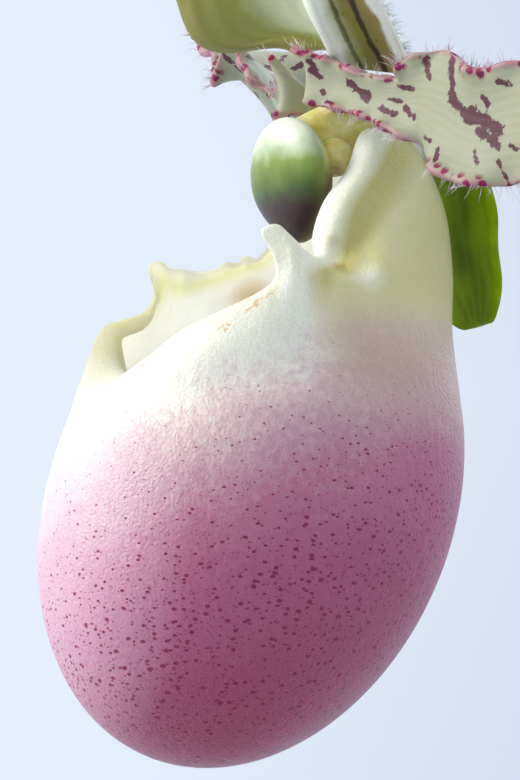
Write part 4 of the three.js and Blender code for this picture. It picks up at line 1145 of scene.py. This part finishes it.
# For each guide line of one side, from the front of the pouch to its back: degrees round the pouch,
# height of the shoulder, and six points up the wall to the fold's crest, over it and down to the margin
GUIDE_TURNS = [0, 19, 37, 52, 65, 69, 73, 76, 80, 86, 94, 104, 116, 133, 155, 180]
SHOULDERS = [
    -21, -20.4, -19.4, -18.6, -18, -17.9, -17.8, -17.7,
    -17.5, -17.4, -17.4, -17.6, -17.8, -18, -18.2, -18.4,
]
RIM_CREST = [
    (0, -18.6, -17.3), (3.0, -18.0, -16.3), (5.5, -16.9, -15.0), (7.5, -15.5, -14.2), (8.8, -13.5, -13.1),
]
RIM_SHARE = 0.6
RIM_BULGE = 0.5
RIM_OVER = (0.5, 0.05)
RIM_MARGIN = (1.2, -0.9)
CLAW_GUIDES = [
    [(9.75, -13.05, -14.6), (9.1, -12.7, -12.5), (8.9, -12.7, -12.2),
     (8.75, -12.55, -12.05), (8.6, -12.45, -11.9), (8.5, -12.3, -11.8)],
    [(9.85, -12.4, -13.8), (9.3, -12.1, -11.3), (8.9, -12.6, -10.4),
     (8.75, -12.9, -10.1), (8.6, -13.15, -9.8), (8.5, -13.4, -9.5)],
    [(9.9, -12.0, -13.2), (9.4, -11.8, -10.6), (9.1, -12.1, -9.9),
     (8.95, -12.25, -9.6), (8.8, -12.4, -9.35), (8.7, -12.5, -9.1)],
    [(9.9, -11.5, -12.6), (9.4, -11.2, -10.9), (9.1, -11.3, -10.3),
     (8.95, -11.4, -10.1), (8.8, -11.5, -9.9), (8.7, -11.6, -9.7)],
    [(9.8, -10.9, -12.0), (9.5, -10.7, -11.2), (9.0, -10.7, -10.7),
     (8.8, -10.7, -10.55), (8.6, -10.7, -10.4), (8.4, -10.7, -10.3)],
    [(9.7, -9.3, -11.8), (8.8, -8.6, -11.7), (8.2, -8.4, -11.3),
     (7.6, -8.5, -10.9), (7.1, -9.0, -10.5), (6.2, -9.0, -10.4)],
    [(9.9, -7.5, -12.8), (9.0, -7.2, -11.9), (8.3, -7.2, -10.9),
     (7.4, -7.2, -9.8), (7.3, -8.4, -9.3), (6.0, -9.0, -9.3)],
    [(9.4, -5.4, -13.4), (9.3, -5.9, -11.7), (8.2, -5.5, -9.8),
     (6.8, -5.7, -7.9), (6.9, -7.4, -7.3), (5.3, -8.0, -7.1)],
    [(7.9, -2.6, -13.8), (7.7, -2.9, -11.1), (6.9, -3.2, -8.1),
     (5.5, -3.9, -5.3), (5.7, -5.5, -4.9), (4.3, -6.0, -4.8)],
    [(5.0, 0.6, -14.0), (4.8, 0.7, -10.5), (4.4, 0.2, -6.3),
     (3.9, -1.8, -2.7), (4.1, -3.5, -2.2), (3.2, -4.3, -2.1)],
    [(0, 2.3, -14.2), (0, 2.5, -10.5), (0, 2.4, -7.0),
     (0, 2.2, -4.5), (0, 1.9, -2.9), (0, 1.4, -2.0)],
]
# How far each place round the right half of the lip differs from the left: share round, and a shift in mm
RIGHT_SHIFTS = [
    (0, 0, 0, 0), (0.1, -0.2, -0.5, 0.6), (0.2, -0.3, -0.9, 1.2), (0.3, -0.2, -0.5, 0.9), (0.4, 0, 0, 0.1),
    (0.5, 0, 0, 0.2), (0.6, 0, 0, 0.9), (0.67, -0.2, -0.3, 1.2), (0.74, 0, 0.6, 0.2), (0.8, 0.4, 0.6, -1.6),
    (0.87, 0.3, 0.6, -1.4), (0.94, 0, 0, -0.4), (1, 0, 0, 0),
]
# Where a line has its points below the widest place of the pouch, and from there to the shoulder
TOE_ANGLES = (0, 4, 10, 18, 28, 38, 48, 58, 68, 79, 90)
WALL_SHARES = (0.35, 0.7, 1)
TAUT_STEPS = 40
LIP_WALL = 0.7
LIP_ROWS = 120
LIP_COLUMNS = 112
LINE_STEPS = 200


def pouch_point(height, turn):
    """A point of the pouch's egg at a height, turned from its front."""
    depth = POUCH_DEPTH_BELOW if height < POUCH_EQUATOR else POUCH_DEPTH_ABOVE
    share = math.sqrt(max(1 - ((height - POUCH_EQUATOR) / depth) ** 2, 0))
    middle = POUCH_CENTRE + POUCH_LEAN * (height - POUCH_EQUATOR)
    ahead = POUCH_HALF_LENGTH * share * math.cos(turn)
    return Vector((POUCH_HALF_WIDTH * share * math.sin(turn), middle - ahead, height))


def upper_guides():
    """The six points above the shoulder on each guide line."""
    rows = []
    for turn, shoulder, crest in zip(GUIDE_TURNS, SHOULDERS, RIM_CREST):
        low = pouch_point(shoulder, math.radians(turn))
        high = Vector(crest)
        out = Vector((low.x, low.y - POUCH_CENTRE, 0)).normalized()
        wall = low.lerp(high, RIM_SHARE) + out * RIM_BULGE
        over = high - out * RIM_OVER[0] + Vector((0, 0, RIM_OVER[1]))
        margin = high - out * RIM_MARGIN[0] + Vector((0, 0, RIM_MARGIN[1]))
        rows.append([wall, high, over, over.lerp(margin, 0.33), over.lerp(margin, 0.66), margin])
    return rows + CLAW_GUIDES


turn_line = smooth_line([(turn, shoulder, 0) for turn, shoulder in zip(GUIDE_TURNS, SHOULDERS)])
level_lines = [smooth_line(level) for level in zip(*upper_guides())]


def lip_line(share_round):
    """Points evenly spaced up one line of the lip, from the toe to the margin, and the line's length."""
    turn, shoulder, _ = turn_line(share_round)
    turn = math.radians(turn)
    heights = [POUCH_EQUATOR - POUCH_DEPTH_BELOW * math.cos(math.radians(angle)) for angle in TOE_ANGLES]
    heights += [POUCH_EQUATOR + part * (shoulder - POUCH_EQUATOR) for part in WALL_SHARES]
    stops = [pouch_point(height, turn) for height in heights]
    stops += [level(share_round) for level in level_lines]
    line = smooth_line(stops)
    fine = [line(step / LINE_STEPS) for step in range(LINE_STEPS + 1)]
    run = [0]
    for start, end in zip(fine, fine[1:]):
        run.append(run[-1] + (end - start).length)
    points = []
    step = 0
    for row in range(LIP_ROWS + 1):
        goal = run[-1] * row / LIP_ROWS
        while step < LINE_STEPS - 1 and run[step + 1] < goal:
            step += 1
        part = (goal - run[step]) / max(run[step + 1] - run[step], 1e-9)
        points.append(fine[step].lerp(fine[step + 1], part))
    return points, run[-1]


lip_lines = [lip_line(column / LIP_COLUMNS) for column in range(LIP_COLUMNS + 1)]


def lip_place(s, t):
    """The lip's left half: s runs round from front to back and t up from the toe to the margin."""
    column = round(s * LIP_COLUMNS)
    point = lip_lines[column][0][round(t * LIP_ROWS)].copy()
    if column in (0, LIP_COLUMNS):
        point.x = 0
    return FLOWER + point


lip = shaped_grid(LIP_COLUMNS, LIP_ROWS, lip_place)
distances = []
arounds = []
wall = lip.vertex_groups.new(name="wall")
for index in range(len(lip.data.vertices)):
    row, column = divmod(index, LIP_COLUMNS + 1)
    distance = lip_lines[column][1] * (1 - row / LIP_ROWS)
    distances.append(distance)
    arounds.append(column / LIP_COLUMNS)
    wall.add([index], 0.35 + 0.65 * smoothstep(distance, 0, 3), "REPLACE")
for name, values in (("below_rim", distances), ("round_lip", arounds)):
    lip.data.attributes.new(name, "FLOAT", "POINT").data.foreach_set("value", values)
apply(lip, "MIRROR", use_clip=True, merge_threshold=0.01 * MM)
close_up(lip, 0.002 * MM)
# The right half of the rim, away from the camera, flares more in front and its side lobe hangs lower
shares = [0.0] * len(lip.data.vertices)
lip.data.attributes["round_lip"].data.foreach_get("value", shares)
places = [shift[0] for shift in RIGHT_SHIFTS]
for vertex, share in zip(lip.data.vertices, shares):
    local = vertex.co / MM - FLOWER
    height = smoothstep(local.z, -21, -14) * smoothstep(-local.x, 0.5, 5)
    after = min(max(sum(place <= share for place in places), 1), len(places) - 1)
    part = (share - places[after - 1]) / (places[after] - places[after - 1])
    before, later = Vector(RIGHT_SHIFTS[after - 1][1:]), Vector(RIGHT_SHIFTS[after][1:])
    vertex.co += before.lerp(later, smoothstep(part, 0, 1)) * height * MM
# Away from its margin the front wall is stretched smooth, so that no crease runs down from a horn
from_margin = [0.0] * len(lip.data.vertices)
lip.data.attributes["below_rim"].data.foreach_get("value", from_margin)
taut = lip.vertex_groups.new(name="taut")
for vertex, share, distance in zip(lip.data.vertices, shares, from_margin):
    local = vertex.co / MM - FLOWER
    held, last = ((0.1, 1.2), 0.95) if local.x < 0 else ((1.5, 3.2), 0.7)
    front = smoothstep(share, 0.15, 0.25) * (1 - smoothstep(share, last - 0.1, last))
    taut.add([vertex.index], front * smoothstep(local.z, -19, -15) * smoothstep(distance, *held), "REPLACE")
apply(lip, "SMOOTH", factor=0.5, iterations=TAUT_STEPS, vertex_group="taut")
apply(lip, "SOLIDIFY", thickness=LIP_WALL * MM, offset=-1, vertex_group="wall")
shell = len(lip.data.vertices)
inside = [0.0 if index < shell // 2 else 1.0 for index in range(shell)]
lip.data.attributes.new("inside", "FLOAT", "POINT").data.foreach_set("value", inside)
bpy.ops.object.shade_smooth()


# Small marks on the lip: centre in the flower's frame, colour, radius of the full tint and of its fade,
# and strength
LIP_MARKS = [
    # The first mark is a painted highlight: a cream spot where the bump at the foot of the valley catches
    # the light
    ((9.4, -6.9, -11.8), "#f0efdc", 0.3, 1.4, 0.7),
    ((8.2, -8.4, -11.2), "#c0913a", 0.1, 0.7, 0.6),
    ((7.35, -8.3, -9.6), "#b08444", 0.1, 0.6, 0.3),
    ((-8.2, -6.6, -10.6), "#cda65c", 0.5, 1.8, 0.6),
    ((9.75, -10.3, -11.95), "#2a1a14", 0.07, 0.12, 0.95),
]


def lip_skin():
    """Waxy pouch tissue: satin cells of 0.1 mm, cream to rose, thin enough to glow against the light."""
    material, node = new_material(
        "waxy_pouch", Roughness=0.42, Specular_IOR_Level=0.45, Sheen_Weight=0.08, Sheen_Roughness=0.5,
        Subsurface_Weight=0.7, Subsurface_Scale=0.0011, Subsurface_Radius=(1.0, 0.85, 0.8),
    )
    place = node("TexCoord", give="Object")
    local = node("VectorMath", {0: place, 1: FLOWER * MM}, operation="SUBTRACT")
    mm = node("VectorMath", {0: local, "Scale": 1000}, operation="SCALE")
    axes = node("SeparateXYZ", {"Vector": mm}, give=None)
    height = axes["Z"]
    inside = node("Attribute", attribute_name="inside", give="Fac")
    rim = node("Attribute", attribute_name="below_rim", give="Fac")
    around = node("Attribute", attribute_name="round_lip", give="Fac")
    # The rose starts higher at the back of the pouch than in front, in clouds of 5 mm and a fine mottle;
    # the tilt is partly the tissue's own colour and partly painted highlight that keeps the lit front paler
    cloud = node("TexNoise", {"Vector": mm, "Scale": 0.22, "Detail": 3})
    mottle = node("TexNoise", {"Vector": mm, "Scale": 2.2, "Detail": 4, "Roughness": 0.65})
    back = node("Math", {0: axes["Y"], 1: -0.35, 2: height}, operation="MULTIPLY_ADD")
    clouded = node("Math", {0: cloud, 1: 5.0, 2: back}, operation="MULTIPLY_ADD")
    level = node("Math", {0: mottle, 1: 6.0, 2: clouded}, operation="MULTIPLY_ADD")
    depth = node("MapRange", {"Value": level, 1: -5.2, 2: -25.2})
    flesh = node("ValToRGB", {"Fac": depth}, stops=[
        (0.0, "#f2efda"), (0.08, "#eee6d8"), (0.2, "#d9bfba"), (0.34, "#c49aa2"),
        (0.5, "#b97188"), (0.72, "#b0587a"), (1.0, "#a54766"),
    ])
    # Single cells of about 0.1 mm differ a little in tone
    tone = node("TexNoise", {"Vector": mm, "Scale": 9.0, "Detail": 2})
    value = node("MapRange", {"Value": tone, 1: 0.3, 2: 0.7, 3: 0.92, 4: 1.08})
    toned = node("HueSaturation", {"Value": value, "Color": flesh})
    # Painted highlight: the very front of the pouch, which faces the key light, is painted paler all the
    # way down to stand for its sheen
    colour = tinted(node, toned, "#efdfe8", axes["Y"], -18.0, -23.0, 0.4)
    # Irregular dots, a little wider than tall: large sparse ones low down, small faint ones all over
    warp = node("TexNoise", {"Vector": mm, "Scale": 3.0, "Detail": 1}, give="Color")
    shifted = node("VectorMath", {0: warp, "Scale": 0.12}, operation="SCALE")
    warped = node("VectorMath", {0: mm, 1: shifted}, operation="ADD")
    flat = node("VectorMath", {0: warped, 1: (0.85, 0.85, 1.3)}, operation="MULTIPLY")
    for scale, kept, size, strength in ((2.1, 0.08, 0.36, 1.0), (3.6, 0.3, 0.32, 0.8)):
        cell = node("TexVoronoi", {"Vector": flat, "Scale": scale, "Randomness": 1.0}, give=None)
        draw_of = node("SeparateColor", {"Color": cell["Color"]}, give=None)
        there = node("Math", {0: draw_of[0], 1: kept}, operation="GREATER_THAN")
        grow = node("MapRange", {"Value": depth, 1: 0.1, 2: 0.75, 3: 0.35, 4: 1.0})
        part = node("MapRange", {"Value": draw_of[1], 3: 0.6 * size, 4: size})
        reach = node("Math", {0: grow, 1: part}, operation="MULTIPLY")
        spare = node("Math", {0: reach, 1: cell["Distance"]}, operation="SUBTRACT")
        soft = node("MapRange", {"Value": spare, 1: 0.0, 2: 0.06, 4: strength})
        low = node("MapRange", {"Value": depth, 1: 0.08, 2: 0.2})
        shown = node("Math", {0: soft, 1: there}, operation="MULTIPLY")
        dot = node("Math", {0: shown, 1: low}, operation="MULTIPLY")
        colour = node("Mix", {0: dot, 6: colour, 7: "#8a0444"}, **IN_COLOUR)
    # Behind the horns: a cream rolled band along the margin, a darker khaki valley that is painted shade in
    # the fold, and the claw beyond it
    behind = node("MapRange", {"Value": around, 1: 0.55, 2: 0.64})
    upper = node("MapRange", {"Value": height, 1: -18.0, 2: -12.5})
    near_half = node("MapRange", {"Value": axes["X"], 1: -3.0, 2: 0.0})
    claw_part = node("Math", {0: behind, 1: upper}, operation="MULTIPLY")
    claw = node("Math", {0: claw_part, 1: near_half}, operation="MULTIPLY")
    across = node("MapRange", {"Value": rim, 2: 10.0})
    fold = node("ValToRGB", {"Fac": across}, stops=[
        (0.05, "#eff0dc"), (0.19, "#e2e2bf"), (0.27, "#c6bd6e"), (0.37, "#cac27a"),
        (0.52, "#dcd69e"), (1.0, "#dad298"),
    ])
    colour = node("Mix", {0: claw, 6: colour, 7: fold}, **IN_COLOUR)
    # Below the valley the cream turns beige before the rose begins
    beige_top = node("MapRange", {"Value": height, 1: -12.5, 2: -15.5})
    beige_foot = node("MapRange", {"Value": height, 1: -22.0, 2: -18.0})
    beige_front = node("MapRange", {"Value": around, 1: 0.52, 2: 0.68, 4: 0.6})
    band = node("Math", {0: beige_top, 1: beige_foot}, operation="MULTIPLY")
    beige = node("Math", {0: band, 1: beige_front}, operation="MULTIPLY")
    colour = node("Mix", {0: beige, 6: colour, 7: "#c4a893"}, **IN_COLOUR)
    # Along the front rim the cream is tinged yellow, with a thin broken tan line where it turns over
    tinge_far = node("MapRange", {"Value": rim, 1: 3.6, 2: 1.5, 4: 0.3})
    front = node("MapRange", {"Value": around, 1: 0.56, 2: 0.5})
    tinge = node("Math", {0: tinge_far, 1: front}, operation="MULTIPLY")
    colour = node("Mix", {0: tinge, 6: colour, 7: "#dfdca6"}, **IN_COLOUR)
    ragged = node("TexNoise", {"Vector": mm, "Scale": 2.4, "Detail": 4})
    wander = node("Math", {0: ragged, 1: 1.6, 2: rim}, operation="MULTIPLY_ADD")
    turned = node("MapRange", {"Value": around, 1: 0.2, 2: 0.33, 3: 4.0, 4: 2.1})
    off_line = node("Math", {0: wander, 1: turned}, operation="SUBTRACT")
    off = node("Math", {0: off_line}, operation="ABSOLUTE")
    stroke = node("MapRange", {"Value": off, 1: 0.16, 2: 0.06, 4: 0.55})
    patchy = node("TexNoise", {"Vector": mm, "Scale": 0.5})
    here = node("MapRange", {"Value": patchy, 1: 0.42, 2: 0.5})
    on_left = node("MapRange", {"Value": axes["X"], 1: 1.5, 2: 3.0})
    place_of = node("Math", {0: here, 1: on_left}, operation="MULTIPLY")
    broken = node("Math", {0: stroke, 1: place_of}, operation="MULTIPLY")
    faded = node("Math", {0: broken, 1: front}, operation="MULTIPLY")
    colour = node("Mix", {0: faded, 6: colour, 7: "#cf9a52"}, **IN_COLOUR)
    # The inner face is yellow green near the rim and grey white below; the near white below is partly its
    # own cream and partly painted light, standing in for daylight glowing through the wall
    inner_face_and_glow = node("ValToRGB", {"Fac": across}, stops=[
        (0.04, "#f6f5e4"), (0.12, "#eeefc8"), (0.24, "#fdfdfa"),
    ])
    colour = tinted(node, colour, inner_face_and_glow, inside, 0.3, 0.9, 0.95)
    for centre, tint, full, fade, strength in LIP_MARKS:
        away = node("VectorMath", {0: mm, 1: centre}, operation="DISTANCE", give="Value")
        colour = tinted(node, colour, tint, away, fade, full, strength)
    # Crinkles run down the pouch, and each cell is a tiny dome that catches the light
    drawn = node("VectorMath", {0: mm, 1: (1.6, 1.6, 0.6)}, operation="MULTIPLY")
    crinkle = node("TexNoise", {"Vector": drawn, "Scale": 1.0, "Detail": 6, "Roughness": 0.65})
    folds = node("Bump", {"Height": crinkle, "Strength": 0.4, "Distance": 0.0003})
    cells = node("TexVoronoi", {"Vector": mm, "Scale": 6.0}, feature="SMOOTH_F1")
    dome = {"Height": cells, "Normal": folds, "Strength": 0.8, "Distance": 0.00008}
    domes = node("Bump", dome, invert=True)
    # Above the shoulder the wall is so thin that daylight comes through it
    far_side = node("MapRange", {"Value": axes["X"], 1: 2.0, 2: -3.0, 3: 0.1, 4: 0.7})
    high = node("MapRange", {"Value": height, 1: -20.0, 2: -15.0})
    through = node("Math", {0: high, 1: far_side}, operation="MULTIPLY")
    glow = node("BsdfTranslucent", {"Color": colour})
    tree = material.node_tree
    lit = node("MixShader", {0: through, 1: tree.nodes["Principled BSDF"].outputs[0], 2: glow})
    tree.links.new(lit, tree.nodes["Material Output"].inputs["Surface"])
    return surfaced(material, colour, domes)


settle(with_material(lip, lip_skin()), "pouched_lip", "lip", "lip")


# Studio
# A plain pale table, a pale blue surround that is a little lighter on the left, and one large soft
# light up on the left with a weak one behind.
RIGHT = Vector((0.407, 0.914, 0)).normalized()
BACK = Vector((0.907, -0.404, -0.122)).normalized()
UP = BACK.cross(RIGHT).normalized()
FLOWER_HEIGHT = 47.4
VIEW_DISTANCE = 300
VIEW_CENTRE = FLOWER - 8.82 * RIGHT - 17.06 * UP
KEY_DISTANCE = 2.2


def soft_light(name, direction, size, power, colour):
    """A square soft box that shines on the flower from a direction, unseen by the camera."""
    away = direction.normalized()
    bpy.ops.object.light_add(type="AREA", location=FLOWER * MM + away * KEY_DISTANCE)
    light = bpy.context.object
    light.name = name
    light.rotation_euler = away.to_track_quat("Z", "Y").to_euler()
    light.data.size = size
    light.data.energy = power
    light.data.color = linear(colour)[:3]
    light.visible_camera = False


key = -0.86 * RIGHT + 0.5 * UP - 0.05 * BACK
soft_light("key_light", key, size=1.3, power=54, colour="#fffaf4")
behind = 0.5 * RIGHT + 0.45 * UP - 0.75 * BACK
soft_light("back_light", behind, size=1.6, power=22, colour="#eef4ff")

world = bpy.data.worlds.new("pale_surround")
bpy.context.scene.world = world
world.use_nodes = True
surround = world.node_tree
node = partial(add, surround)
toward = node("TexCoord", give="Generated")
leftness = node("VectorMath", {0: toward, 1: -RIGHT}, operation="DOT_PRODUCT", give="Value")
height = node("VectorMath", {0: toward, 1: UP}, operation="DOT_PRODUCT", give="Value")
off_middle = node("Math", {0: height}, operation="ABSOLUTE")
middle = node("MapRange", {"Value": off_middle, 1: 0.09, 2: 0.0, 4: 0.04})
bright = node("Math", {0: leftness, 1: middle}, operation="ADD")
blend = node("MapRange", {"Value": bright, 1: -0.06, 2: 0.06}, interpolation_type="SMOOTHSTEP")
sky = node("Mix", {0: blend, 6: "#d6e1f2", 7: "#e6effe"}, **IN_COLOUR)
surround.links.new(sky, surround.nodes["Background"].inputs["Color"])
surround.nodes["Background"].inputs["Strength"].default_value = 1.0

bpy.ops.object.select_all(action="DESELECT")
bpy.ops.mesh.primitive_circle_add(vertices=96, radius=3, fill_type="NGON", location=(0, 0, 0))
table = bpy.context.object
table.name = "table_top"
table_paint, _ = new_material("matt_pale_paint", Roughness=0.8, Base_Color=linear("#c6cdd6"))
table.data.materials.append(table_paint)

bpy.context.scene.view_settings.view_transform = "Standard"
bpy.ops.object.camera_add()
camera = bpy.context.object
camera.data.lens = camera.data.sensor_width * VIEW_DISTANCE / FLOWER_HEIGHT
camera.data.clip_start = 0.001
view = Matrix((RIGHT, UP, BACK)).transposed().to_4x4()
view.translation = (VIEW_CENTRE + BACK * VIEW_DISTANCE) * MM
camera.matrix_world = view
bpy.context.scene.camera = camera
